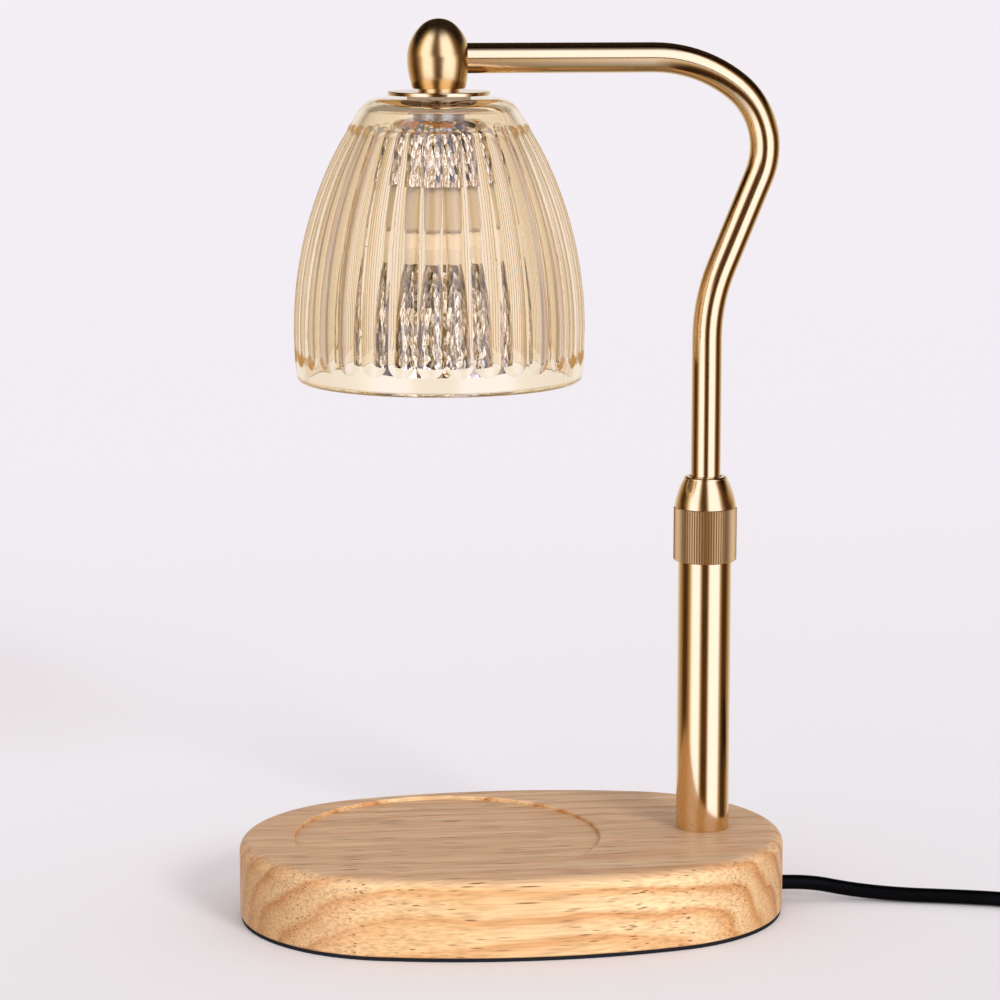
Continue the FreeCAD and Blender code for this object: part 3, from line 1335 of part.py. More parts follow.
def plug_body():
    """The moulded two-blade plug, drawn in towards the cord."""
    start = plug_start()
    right = start.x - RELIEF_LENGTH
    left = right - PLUG_LENGTH
    half = PLUG_WIDTH / 2
    neck = PLUG_NECK_SHARE * half
    full = left + PLUG_FULL_SHARE * PLUG_LENGTH
    outline = [(left, -half), (full, -half), (right, -neck), (right, neck), (full, half), (left, half)]
    low = IN_LINE_Z - PLUG_THICKNESS / 2
    body = prism(outline, low, low + PLUG_THICKNESS)
    body = body.makeFillet(PLUG_EDGE, level_edges(body, low) + level_edges(body, low + PLUG_THICKNESS))
    body.translate(V(0, start.y, 0))
    holes = [blade(side, start.y, left) for side in (-1, 1)]
    return body.cut(holes)


def blade(side, y, face_x):
    """One flat contact blade, with its root in the plug."""
    middle = y + side * BLADE_PITCH / 2
    half_t = BLADE_THICKNESS / 2
    half_h = BLADE_HEIGHT / 2
    body = box(
        (face_x - BLADE_LENGTH, middle - half_t, IN_LINE_Z - half_h),
        (face_x + BLADE_ROOT, middle + half_t, IN_LINE_Z + half_h),
    )
    return body


def plug_blades():
    """The two contact blades, each with a hole near its tip."""
    start = plug_start()
    face_x = start.x - RELIEF_LENGTH - PLUG_LENGTH
    hole_start = V(face_x - BLADE_LENGTH + BLADE_HOLE_INSET, start.y - PLUG_WIDTH / 2, IN_LINE_Z)
    hole = Part.makeCylinder(BLADE_HOLE_RADIUS, PLUG_WIDTH, hole_start, V(0, 1, 0))
    return Part.makeCompound([blade(side, start.y, face_x).cut(hole) for side in (-1, 1)])


def main():
    os.makedirs("parts", exist_ok=True)
    save("wood_foot", wood_foot())
    save("foot_pad", foot_pad())
    save("lower_tube", lower_tube())
    save("tube_foot_insert", tube_foot_insert())
    save("foot_nipple", foot_nipple())
    save("foot_washer", foot_washer())
    save("foot_nut", foot_nut())
    save("post_head", post_head())
    save("collet", collet())
    save("collet_nut", collet_nut())
    save("slide_bush", slide_bush())
    save("bush_clips", bush_clips())
    save("upper_tube", upper_tube())
    save("arm_wires", arm_wires())
    save("base_wires", base_wires())
    save("head_cap", head_cap())
    save("top_disc", top_disc())
    save("upper_gasket", gasket(DISC_BOTTOM))
    save("lower_gasket", gasket(SHADE_CEILING))
    save("glass_shade", glass_shade())
    save("shade_ring_nut", shade_ring_nut())
    save("head_nipple", head_nipple())
    save("holder_cup", holder_cup())
    save("holder_bracket", holder_bracket())
    save("holder_nut", holder_nut())
    save("lampholder", lampholder())
    save("holder_screws", holder_screws())
    save("bulb_base", bulb_base())
    save("bulb_pins", bulb_pins())
    save("bulb_reflector", bulb_reflector())
    save("bulb_front_glass", bulb_front_glass())
    save("bulb_capsule", bulb_capsule())
    save("cord_bush", cord_bush())
    save("cord_clamp", cord_clamp())
    save("cord_clamp_screws", cord_clamp_screws())
    save("inner_cord", inner_cord())
    save("lead_cord", cord_tube("lead_cord", FOOT_END, LEAD_ROUTE))
    save("feed_cord", cord_tube("feed_cord", FEED_START, FEED_ROUTE))
    save("cord_coil", cord_coil())
    save("dimmer_boots", dimmer_boots())
    save("dimmer_top_shell", dimmer_top_shell())
    save("dimmer_bottom_shell", dimmer_bottom_shell())
    save("dimmer_screws", dimmer_screws())
    save("dimmer_board", dimmer_board())
    save("dimmer_axle", dimmer_axle())
    save("dimmer_wheel", dimmer_wheel())
    save("plug_relief", plug_relief())
    save("plug_body", plug_body())
    save("plug_blades", plug_blades())


main()
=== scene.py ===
# %% [markdown]
# # A candle warmer lamp, dressed for a picture
# The lamp has an oval wooden foot, a two-part post in champagne gold, a bent arm and a fluted glass shade with a
# reflector bulb. Its hard pieces come ready-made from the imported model. This lesson makes the cord anew, gives
# every piece its finish, and sets up a small photo studio around the lamp.

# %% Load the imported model
import bpy
import math
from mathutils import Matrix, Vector


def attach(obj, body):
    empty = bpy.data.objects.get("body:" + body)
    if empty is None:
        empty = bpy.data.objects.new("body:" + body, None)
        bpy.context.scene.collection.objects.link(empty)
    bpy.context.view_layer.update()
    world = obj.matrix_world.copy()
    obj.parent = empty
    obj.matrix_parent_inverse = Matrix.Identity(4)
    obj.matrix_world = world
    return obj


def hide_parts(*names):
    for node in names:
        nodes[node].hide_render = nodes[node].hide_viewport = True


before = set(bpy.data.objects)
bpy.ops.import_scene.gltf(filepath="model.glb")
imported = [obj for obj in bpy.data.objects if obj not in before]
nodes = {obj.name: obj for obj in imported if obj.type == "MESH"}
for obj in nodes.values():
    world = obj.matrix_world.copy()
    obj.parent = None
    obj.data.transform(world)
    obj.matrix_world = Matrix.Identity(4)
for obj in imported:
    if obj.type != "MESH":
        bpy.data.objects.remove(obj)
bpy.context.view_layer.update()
print("pieces loaded:", len(nodes))

# %% [markdown]
# ## The camera
# The camera stands 1.1 m in front of the lamp, a little to its left and above it, with a long lens. A long lens
# keeps the post and the foot nearly free of perspective, as product pictures like it.

# %% Camera
PICTURE_WIDTH = 1000
FOCAL_PIXELS = 3371.4
SENSOR = 36.0
SIDE_ANGLE = math.radians(6.781)
DOWN_ANGLE = math.radians(9.489)

camera_data = bpy.data.cameras.new("camera")
camera_data.sensor_width = SENSOR
camera_data.lens = FOCAL_PIXELS / PICTURE_WIDTH * SENSOR
camera_data.clip_end = 100
camera = bpy.data.objects.new("camera", camera_data)
camera.location = (-0.13589, -1.10760, 0.32862)
camera.rotation_euler = (math.pi / 2 - DOWN_ANGLE, 0, -SIDE_ANGLE)
bpy.context.scene.collection.objects.link(camera)
bpy.context.scene.camera = camera
bpy.context.scene.view_settings.view_transform = "Standard"
print("lens in mm:", round(camera_data.lens, 1))

# %% [markdown]
# ## The cord
# The real cord is a flexible vinyl lead, 5 mm thick. It leaves the foot's end, sinks to the table and reaches a
# dimmer; from there it goes on into a put-away coil that ends in the plug. A NURBS curve suits it: the few points
# of its route pull the line into smooth bends, and the bevel gives it thickness.

# %% Cord maker
CORD = 0.005


def cord_curve(name, points):
    """A round cord along a smooth line that the points pull into shape."""
    curve = bpy.data.curves.new(name, "CURVE")
    curve.dimensions = "3D"
    curve.bevel_depth = CORD / 2
    curve.bevel_resolution = 5
    curve.resolution_u = 6
    spline = curve.splines.new("NURBS")
    spline.points.add(len(points) - 1)
    for point, place in zip(spline.points, points):
        point.co = (*place, 1)
    spline.order_u = 3
    spline.use_endpoint_u = True
    piece = bpy.data.objects.new(name, curve)
    bpy.context.scene.collection.objects.link(piece)
    print(name, "has", len(points), "points")
    return piece


# %% The run from the foot to the dimmer
FOOT_END = 0.0928
LEAD_ROUTE = [
    (FOOT_END, 0.0, 0.0065),
    (FOOT_END + 0.0102, 0.0, 0.0065),
    (FOOT_END + 0.0242, -0.0024, 0.0038),
    (FOOT_END + 0.0402, -0.0066, 0.0026),
    (FOOT_END + 0.0592, -0.0114, 0.0026),
    (FOOT_END + 0.0752, -0.0164, 0.0026),
    (FOOT_END + 0.0902, -0.025, 0.0026),
    (FOOT_END + 0.1022, -0.0365, 0.0046),
    (FOOT_END + 0.1182, -0.045, 0.00805),
    (FOOT_END + 0.1342, -0.045, 0.00805),
]
lead = cord_curve("lead", LEAD_ROUTE)

# %% [markdown]
# The rest of the cord is one curve as well. Its turns come from a loop with twelve points a turn: the radius
# shrinks by one cord's width a turn, a half turn lifts the line to the second layer, and it winds out again.

# %% The run to the coil
FEED_START = 0.327
FEED_ROUTE = [
    (FEED_START, -0.045, 0.00805),
    (FEED_START + 0.0165, -0.045, 0.00805),
    (FEED_START + 0.0299, -0.0372, 0.0062),
    (FEED_START + 0.0377, -0.0238, 0.0039),
    (FEED_START + 0.0385, -0.0085, 0.0026),
    (FEED_START + 0.0385, 0.007, 0.0026),
]
print("the run to the coil starts", round((FEED_START - FOOT_END) * 1000), "mm from the foot")

# %% The coil
COIL_CENTRE = (0.3255, 0.012)
COIL_RADIUS = 0.040
COIL_PITCH = 0.00545
COIL_FLOOR = 0.0026
POINTS_PER_TURN = 12
TURNS_IN = 3.5
TURNS_CLIMB = 0.5
TURNS_OUT = 3.25
TURNS = TURNS_IN + TURNS_CLIMB + TURNS_OUT
MIDDLE_TURN = TURNS_IN + TURNS_CLIMB / 2


def coil_radius(turn):
    """How far from the coil's centre the cord runs after so many turns: in to the middle turn, then out."""
    inward = turn if turn < MIDDLE_TURN else 2 * MIDDLE_TURN - turn
    return COIL_RADIUS - COIL_PITCH * inward


def coil_points():
    """The control points of the coil, set out a little so that the smooth line keeps its radius."""
    spread = 1 / math.cos(math.pi / POINTS_PER_TURN)
    points = []
    for step in range(1, round(TURNS * POINTS_PER_TURN)):
        turn = step / POINTS_PER_TURN
        climbed = min(max((turn - TURNS_IN) / TURNS_CLIMB, 0), 1)
        angle = 2 * math.pi * turn
        points.append((
            COIL_CENTRE[0] + coil_radius(turn) * spread * math.cos(angle),
            COIL_CENTRE[1] + coil_radius(turn) * spread * math.sin(angle),
            COIL_FLOOR + COIL_PITCH * climbed,
        ))
    return points


# the last turn ends level with the plug, and a short straight tail goes into the plug's relief
TAIL = 0.014
tail_y = COIL_CENTRE[1] + coil_radius(TURNS)
tail = [(COIL_CENTRE[0] - TAIL * part, tail_y, COIL_FLOOR + COIL_PITCH) for part in (0, 0.5, 1)]
main_cord = cord_curve("main_cord", FEED_ROUTE + coil_points() + tail)

# %% [markdown]
# ## Colours and materials
# Colours are written as on screen, in hexadecimal, and one function turns them into the linear values that the
# shader works with. Another function adds a node with its settings and links, and a third starts a material.

# %% Colour and node helpers


def colour(code):
    """A screen colour such as 'C0A080' as linear red, green, blue and full opacity."""
    values = [int(code[k : k + 2], 16) / 255 for k in (0, 2, 4)]
    return (*[v / 12.92 if v <= 0.04045 else ((v + 0.055) / 1.055) ** 2.4 for v in values], 1)


def add(tree, kind, inputs=None, stops=None, **settings):
    """Adds a node; inputs are values or the outputs that feed it, and stops are a colour ramp's own colours."""
    node = tree.nodes.new(kind)
    for key, value in settings.items():
        setattr(node, key, value)
    for socket, value in (inputs or {}).items():
        if isinstance(value, bpy.types.NodeSocket):
            tree.links.new(value, node.inputs[socket])
        else:
            node.inputs[socket].default_value = value
    if stops:
        elements = node.color_ramp.elements
        while len(elements) < len(stops):
            elements.new(0.5)
        for element, (place, code) in zip(elements, stops):
            element.position = place
            element.color = colour(code)
    return node


# a Mix node has its two colours at these inputs and the mixed colour at this output
MIX_A, MIX_B, MIXED = 6, 7, 2


def per_mm(size):
    """The scale of a pattern whose grains or waves are so many millimetres wide."""
    return 1000 / size


print("white in linear light:", colour("FFFFFF"))

# %% Material helpers


def material(name, **shader_inputs):
    """A new material with a Principled shader; returns the material, its tree, the shader and the place."""
    made = bpy.data.materials.new(name)
    made.use_nodes = True
    tree = made.node_tree
    shader = tree.nodes["Principled BSDF"]
    for socket, value in shader_inputs.items():
        shader.inputs[socket.replace("_", " ")].default_value = value
    return made, tree, shader, add(tree, "ShaderNodeTexCoord").outputs["Object"]


def feed(tree, shader, **sockets):
    """Lets outputs drive the shader's inputs."""
    for name, socket in sockets.items():
        tree.links.new(socket, shader.inputs[name.replace("_", " ")])


def surface_grain(tree, shader, place, grain_mm, relief_mm, smooth, rough):
    """Gives a finish its fine relief and an uneven gloss; sizes are in millimetres."""
    grain = add(tree, "ShaderNodeTexNoise", {"Vector": place, "Scale": per_mm(grain_mm), "Detail": 3.0})
    gloss = add(tree, "ShaderNodeMapRange", {"Value": grain.outputs["Fac"], "From Min": 0.3, "From Max": 0.7,
                "To Min": smooth, "To Max": rough})
    relief = add(tree, "ShaderNodeBump", {"Height": grain.outputs["Fac"], "Strength": 0.4,
                 "Distance": relief_mm / 1000})
    feed(tree, shader, Roughness=gloss.outputs["Result"], Normal=relief.outputs["Normal"])


def paint(finish, *pieces):
    """Gives pieces one finish; a CAD piece is given by its name."""
    for piece in pieces:
        piece = nodes[piece] if isinstance(piece, str) else piece
        piece.data.materials.clear()
        piece.data.materials.append(finish)
    print(finish.name, "on", len(pieces), "pieces")


# %% [markdown]
# ### Black vinyl
# The cord's sheath is soft PVC, extruded through a smooth die. That gives a deep black with a soft gloss and a very
# faint waviness along its length.

# %% Black vinyl
vinyl, tree, shader, place = material("extruded_black_pvc", Base_Color=colour("030303"), Roughness=0.4,
                                      Specular_IOR_Level=0.09)
waves = add(tree, "ShaderNodeTexNoise", {"Vector": place, "Scale": per_mm(6.25), "Detail": 2.0})
bump = add(tree, "ShaderNodeBump", {"Height": waves.outputs["Fac"], "Strength": 0.12, "Distance": 0.0004})
feed(tree, shader, Normal=bump.outputs["Normal"])
paint(vinyl, lead, main_cord, "inner_cord", "cord_bush", "dimmer_boots", "plug_relief", "plug_body")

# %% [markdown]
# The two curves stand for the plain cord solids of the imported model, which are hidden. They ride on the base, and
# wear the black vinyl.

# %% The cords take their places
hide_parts("lead_cord")
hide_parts("feed_cord", "cord_coil")
for piece in (lead, main_cord):
    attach(piece, "base")
    print(piece.name, "rides on the base")

# %% [markdown]
# ### Champagne gold
# The post, arm and head are steel and brass with a thin champagne-gold plating over a polished ground. The plating
# is a clear metal mirror with a warm tint; a whisper of polishing haze softens the edges of its reflections.

# %% Champagne gold, polished
GOLD = "E8C794"
gold, tree, shader, place = material("polished_champagne_plating", Base_Color=colour(GOLD), Metallic=1.0)
haze = add(tree, "ShaderNodeTexNoise", {"Vector": place, "Scale": per_mm(22.222), "Detail": 3.0})
rough = add(tree, "ShaderNodeMapRange", {"Value": haze.outputs["Fac"], "To Min": 0.10, "To Max": 0.17})
feed(tree, shader, Roughness=rough.outputs["Result"])
paint(gold, "lower_tube", "upper_tube", "top_disc", "post_head")

# %% [markdown]
# The egg-shaped head is turned and plated a shade deeper. Its ground is satin, with fine turning lines that lie
# level, so the pattern is drawn out sideways.

# %% Champagne gold, satin
DEEP_GOLD = "E9C386"
TURNING_LINE_MM = 0.4
satin_gold, tree, shader, place = material("satin_champagne_plating", Base_Color=colour(DEEP_GOLD), Metallic=1.0)
drawn_out = add(tree, "ShaderNodeMapping", {"Vector": place, "Scale": (0.1, 0.1, 1.0)})
turning_lines = add(tree, "ShaderNodeTexNoise", {"Vector": drawn_out.outputs["Vector"],
                    "Scale": per_mm(TURNING_LINE_MM), "Detail": 1.0})
rough = add(tree, "ShaderNodeMapRange", {"Value": turning_lines.outputs["Fac"], "To Min": 0.18, "To Max": 0.28})
feed(tree, shader, Roughness=rough.outputs["Result"])
paint(satin_gold, "head_cap")

# %% [markdown]
# The clamping nut is polished on its cone and left satin and a shade browner on its knurl. The two zones meet at
# one height.

# %% Champagne gold, knurled
KNURL_TOP = 0.1387
KNURL_GOLD = "C29B65"
knurled_gold, tree, shader, place = material("knurled_champagne_plating", Metallic=1.0)
height = add(tree, "ShaderNodeSeparateXYZ", {"Vector": place})
on_cone = add(tree, "ShaderNodeMath", {0: height.outputs["Z"], 1: KNURL_TOP}, operation="GREATER_THAN")
tone = add(tree, "ShaderNodeMix", {"Factor": on_cone.outputs["Value"], MIX_A: colour(KNURL_GOLD),
           MIX_B: colour(GOLD)}, data_type="RGBA")
rough = add(tree, "ShaderNodeMapRange", {"Value": on_cone.outputs["Value"], "To Min": 0.36, "To Max": 0.16})
feed(tree, shader, Base_Color=tone.outputs[MIXED], Roughness=rough.outputs["Result"])
paint(knurled_gold, "collet_nut")

# %% [markdown]
# ### Silvery metals seen through the glass
# The cup round the lamp holder is hammered nickel, and the bulb's bell is glass, pressed with small facets and
# silvered. Each dent or facet mirrors another part of the room, so both sparkle. Voronoi cells give the dents, and
# each cell's colour is painted brighter or darker than the next: a painted glint for the part of the room it
# mirrors.

# %% Nickel and silvering


def dented_silver_with_painted_glints(name, in_100_mm, channel, strength, painted_glint_tones):
    """A mirror with so many dents in 100 mm, each dent's colour painted brighter or darker than the next as a
    painted glint.
    """
    finish, tree, shader, place = material(name, Metallic=1.0, Roughness=0.08)
    dents = add(tree, "ShaderNodeTexVoronoi", {"Vector": place, "Scale": per_mm(100 / in_100_mm)})
    kind = add(tree, "ShaderNodeSeparateColor", {"Color": dents.outputs["Color"]})
    # painted glint: each dent's colour is painted brighter or darker, standing for the room it mirrors
    painted_glint = add(tree, "ShaderNodeValToRGB", {"Fac": kind.outputs[channel]}, stops=painted_glint_tones)
    relief = add(tree, "ShaderNodeBump", {"Height": dents.outputs["Distance"], "Strength": strength,
                 "Distance": 0.0015})
    feed(tree, shader, Base_Color=painted_glint.outputs["Color"], Normal=relief.outputs["Normal"])
    return finish


# the ramps hold the painted glints, from dark to bright
nickel = dented_silver_with_painted_glints("hammered_polished_nickel", 33, "Green", 0.8,
                       [(0.0, "34302A"), (0.2, "9C968C"), (0.4, "F4EEE4"), (1.0, "FFFAF0")])
paint(nickel, "holder_cup")
silvering = dented_silver_with_painted_glints("silvered_faceted_reflector", 29, "Red", 0.5,
                          [(0.0, "5E5850"), (0.3, "BCB4A6"), (0.6, "F6EEDE"), (1.0, "FFF8EA")])
paint(silvering, "bulb_reflector")

# %% [markdown]
# ### Plain metals, plastics and ceramic
# Most of the inner pieces have one even colour and a fine grain: machined brass, zinc-plated steel, moulded nylon,
# soft silicone and glazed steatite, a creamy ceramic; the lampholder's steatite is painted greyer than the bulb's,
# as painted shade. One loop makes them from a table of real grain sizes.

# %% Finishes with an even colour
# name: colour, metallic, grain and relief in mm, roughness from and to, pieces
EVEN_FINISHES = {
    "machined_brass": ("D9B26A", 1.0, 0.5, 0.01, 0.2, 0.36,
                       ("collet", "foot_nipple", "head_nipple", "bulb_pins", "plug_blades")),
    "zinc_plated_steel": ("C6C8CC", 1.0, 0.8, 0.02, 0.24, 0.42,
                          ("tube_foot_insert", "foot_washer", "foot_nut", "bush_clips", "shade_ring_nut",
                           "holder_bracket", "holder_nut", "holder_screws", "cord_clamp_screws", "dimmer_screws",
                           "dimmer_axle")),
    "moulded_white_nylon": ("EDEAE0", 0.0, 0.6, 0.02, 0.4, 0.52, ("slide_bush", "arm_wires", "base_wires")),
    "white_silicone": ("EDEAE4", 0.0, 0.4, 0.02, 0.52, 0.7, ("upper_gasket", "lower_gasket")),
    # painted shade: the lampholder's steatite is painted greyer than the bulb's, where it sits up in the cup
    "glazed_steatite": ("CDC2AE", 0.0, 3.0, 0.05, 0.16, 0.34, ("lampholder",)),
    "pale_glazed_steatite": ("EFE7DA", 0.0, 3.0, 0.05, 0.16, 0.34, ("bulb_base",)),
}
for name, (code, metallic, grain_mm, relief_mm, smooth, rough, pieces) in EVEN_FINISHES.items():
    finish, tree, shader, place = material(name, Base_Color=colour(code), Metallic=metallic)
    surface_grain(tree, shader, place, grain_mm, relief_mm, smooth, rough)
    paint(finish, *pieces)

# %% [markdown]
# The pad under the foot is black closed-cell foam with an open, dull surface. The dimmer is injection-moulded ABS
# with a fine spark-eroded grain.

# %% Foam
CELLS_PER_CM = 14
foam, tree, shader, place = material("black_closed_cell_foam", Base_Color=colour("151414"), Roughness=0.9)
cells = add(tree, "ShaderNodeTexVoronoi", {"Vector": place, "Scale": per_mm(10 / CELLS_PER_CM)})
bump = add(tree, "ShaderNodeBump", {"Height": cells.outputs["Distance"], "Strength": 0.3, "Distance": 0.0003})
feed(tree, shader, Normal=bump.outputs["Normal"])
paint(foam, "foot_pad")

# %% Moulded ABS
abs_black, tree, shader, place = material("moulded_black_abs", Base_Color=colour("141416"), Roughness=0.42)
grit = add(tree, "ShaderNodeTexNoise", {"Vector": place, "Scale": per_mm(0.4), "Detail": 1.0})
bump = add(tree, "ShaderNodeBump", {"Height": grit.outputs["Fac"], "Strength": 0.25, "Distance": 0.00015})
feed(tree, shader, Normal=bump.outputs["Normal"])
paint(abs_black, "dimmer_top_shell", "dimmer_bottom_shell", "dimmer_wheel", "cord_clamp")

# %% [markdown]
# The dimmer's board has a green solder mask over its copper, which shows as paler fields between darker gaps.

# %% Circuit board
board, tree, shader, place = material("green_circuit_board")
surface_grain(tree, shader, place, 0.5, 0.01, 0.3, 0.45)
tracks = add(tree, "ShaderNodeTexBrick", {"Vector": place, "Scale": per_mm(11.111), "Color1": colour("2A8044"),
             "Color2": colour("1E6B36"), "Mortar": colour("14502A")})
feed(tree, shader, Base_Color=tracks.outputs["Color"])
paint(board, "dimmer_board")

# %% [markdown]
# ### Rubberwood
# The foot is oiled rubberwood, a straight-grained tropical wood. The growth layers lie lengthwise, so the long
# sides show wide arched figures, and short dark pores are strewn along the grain. The layers are rings round the
# log's heart, which lies below the foot's front edge, bent by a slow noise.

# %% Growth layers
LAYER = 0.0085
RING_SCALE = 0.314  # a wave texture of this scale has rings 1 m wide
BEND = 0.012
HEART = (0.0, 0.072, 0.016)
wood, tree, shader, place = material("oiled_rubberwood", Roughness=0.5)
stretched = add(tree, "ShaderNodeMapping", {"Vector": place, "Scale": (0.3, 1.0, 1.0)})
bend = add(tree, "ShaderNodeTexNoise", {"Vector": stretched.outputs["Vector"], "Scale": per_mm(18.182),
           "Detail": 3.0})
lean = add(tree, "ShaderNodeVectorMath", {0: bend.outputs["Color"], 1: (0.5, 0.5, 0.5)}, operation="SUBTRACT")
push = add(tree, "ShaderNodeVectorMath", {0: lean.outputs["Vector"], "Scale": BEND}, operation="SCALE")
moved = add(tree, "ShaderNodeVectorMath", {0: stretched.outputs["Vector"], 1: push.outputs["Vector"]},
            operation="ADD")
heart = add(tree, "ShaderNodeMapping", {"Vector": moved.outputs["Vector"], "Location": HEART})
layers = add(tree, "ShaderNodeTexWave", {"Vector": heart.outputs["Vector"], "Scale": RING_SCALE / LAYER,
             "Distortion": 0.6, "Detail": 2.0, "Detail Scale": 1.5}, wave_type="RINGS", rings_direction="X",
             wave_profile="SAW")
figure = add(tree, "ShaderNodeValToRGB", {"Fac": layers.outputs["Fac"]},
             stops=[(0.0, "EAB47A"), (0.2, "FFE0AC"), (0.6, "FAD09A"), (0.85, "E6AA6C"), (1.0, "D6985E")])
print("growth layers in mm:", LAYER * 1000)

# %% [markdown]
# In places the figure is calm, and on the flat top, which is cut along the layers, it is faint.

# %% Strength of the figure
broad = add(tree, "ShaderNodeTexNoise", {"Vector": stretched.outputs["Vector"], "Scale": per_mm(38.462),
            "Detail": 1.0})
calm = add(tree, "ShaderNodeMapRange", {"Value": broad.outputs["Fac"], "From Min": 0.35, "From Max": 0.65,
           "To Min": 0.3, "To Max": 0.95})
TOP_FROM, TOP_TO = 0.45, 0.98  # how far a face looks up, from the rounded edge to the flat top
facing = add(tree, "ShaderNodeNewGeometry")
upward = add(tree, "ShaderNodeSeparateXYZ", {"Vector": facing.outputs["Normal"]})
top_figure = add(tree, "ShaderNodeMapRange", {"Value": upward.outputs["Z"], "From Min": TOP_FROM,
                 "From Max": TOP_TO, "To Min": 1.0, "To Max": 0.45})
figure_share = add(tree, "ShaderNodeMath", {0: calm.outputs["Result"], 1: top_figure.outputs["Result"]},
                   operation="MULTIPLY")
soft_figure = add(tree, "ShaderNodeMix", {"Factor": figure_share.outputs["Value"], MIX_A: colour("F4C48A"),
                  MIX_B: figure.outputs["Color"]}, data_type="RGBA")
print("the top shows", top_figure.inputs["To Max"].default_value, "of the figure")

# %% [markdown]
# Two finer patterns lie on the layers: fibres, as streaks under a millimetre wide and some centimetres long, and
# pores, as dark dashes that turn to dots where the surface cuts across the grain.

# %% Fibres and pores
FIBRES_PER_CM = 13
PORE_SPACING_MM = 1.0
fibre_space = add(tree, "ShaderNodeMapping", {"Vector": place, "Scale": (0.03, 1.0, 1.0)})
fibre = add(tree, "ShaderNodeTexNoise", {"Vector": fibre_space.outputs["Vector"],
            "Scale": per_mm(10 / FIBRES_PER_CM),
            "Detail": 4.0})
fibre_tone = add(tree, "ShaderNodeValToRGB", {"Fac": fibre.outputs["Fac"]},
                 stops=[(0.3, "A89078"), (0.62, "FFFFFF")])
streaky = add(tree, "ShaderNodeMix", {"Factor": 0.5, MIX_A: soft_figure.outputs[MIXED],
              MIX_B: fibre_tone.outputs["Color"]}, data_type="RGBA", blend_type="MULTIPLY")
pore_space = add(tree, "ShaderNodeMapping", {"Vector": place, "Scale": (0.055, 1.0, 1.0)})
pore = add(tree, "ShaderNodeTexVoronoi", {"Vector": pore_space.outputs["Vector"],
           "Scale": per_mm(PORE_SPACING_MM), "Randomness": 1.0})
pore_mask = add(tree, "ShaderNodeMapRange", {"Value": pore.outputs["Distance"], "From Min": 0.30,
                "From Max": 0.12})
pore_kind = add(tree, "ShaderNodeSeparateColor", {"Color": pore.outputs["Color"]})
pore_dark = add(tree, "ShaderNodeMath", {0: pore_mask.outputs["Result"], 1: pore_kind.outputs["Red"]},
                operation="MULTIPLY")
porous = add(tree, "ShaderNodeMix", {"Factor": pore_dark.outputs["Value"], MIX_A: streaky.outputs[MIXED],
             MIX_B: colour("6E3A14")}, data_type="RGBA")
pore_dip = add(tree, "ShaderNodeBump", {"Height": pore_dark.outputs["Value"], "Strength": 0.3,
               "Distance": 0.0002}, invert=True)
print("pores in mm apart:", PORE_SPACING_MM)

# %% [markdown]
# The flat top is painted darker and greyer than the side: painted shade and sheen where the light grazes it. The
# rounded ends cut across the grain and drink more oil, and they are also painted darker as painted shade where they
# turn from the light.

# %% Oil and painted shade
# painted shade and sheen: faces that look up are multiplied by a cool grey
top_painted_shade = add(tree, "ShaderNodeMix", {"Factor": 1.0, MIX_A: porous.outputs[MIXED], MIX_B: colour("DCDCED")},
             data_type="RGBA", blend_type="MULTIPLY")
top_shade_share = add(tree, "ShaderNodeMapRange", {"Value": upward.outputs["Z"], "From Min": TOP_FROM,
                "From Max": TOP_TO})
with_top_painted_shade = add(tree, "ShaderNodeMix", {"Factor": top_shade_share.outputs["Result"], MIX_A: porous.outputs[MIXED],
             MIX_B: top_painted_shade.outputs[MIXED]}, data_type="RGBA")
endward = add(tree, "ShaderNodeMath", {0: upward.outputs["X"]}, operation="ABSOLUTE")
end_darkening_share = add(tree, "ShaderNodeMapRange", {"Value": endward.outputs["Value"], "From Min": 0.25,
                "From Max": 0.95})
# darker oiled end grain, with painted shade: faces that turn to the ends are darkened
end_oil_and_painted_shade = add(tree, "ShaderNodeMix", {"Factor": end_darkening_share.outputs["Result"], MIX_A: colour("FFFFFF"),
              MIX_B: colour("E0D2C6")}, data_type="RGBA")
oil_and_painted_shade = add(tree, "ShaderNodeMix", {"Factor": 1.0, MIX_A: with_top_painted_shade.outputs[MIXED], MIX_B: end_oil_and_painted_shade.outputs[MIXED]},
            data_type="RGBA", blend_type="MULTIPLY")
feed(tree, shader, Base_Color=oil_and_painted_shade.outputs[MIXED], Normal=pore_dip.outputs["Normal"])
paint(wood, "wood_foot")

# %% [markdown]
# ### Glass
# The shade is pressed soda glass with a pale amber tint; the flutes act as small lenses. Two additions keep it
# clear. Light that stays caught in the flutes would end in black, so after a few bounces the glass glows a deep
# amber instead, a painted glow. And soft light goes straight through, tinted, so that it reaches the lamp holder
# and the table.

# %% Amber glass
CAUGHT_AFTER = 5.5  # bounces
amber_glass, tree, shader, place = material("pale_amber_pressed_glass", Base_Color=colour("FCF3E2"),
                                            Roughness=0.0, IOR=1.5, Transmission_Weight=1.0)
path = add(tree, "ShaderNodeLightPath")
caught = add(tree, "ShaderNodeMath", {0: path.outputs["Ray Depth"], 1: CAUGHT_AFTER}, operation="GREATER_THAN")
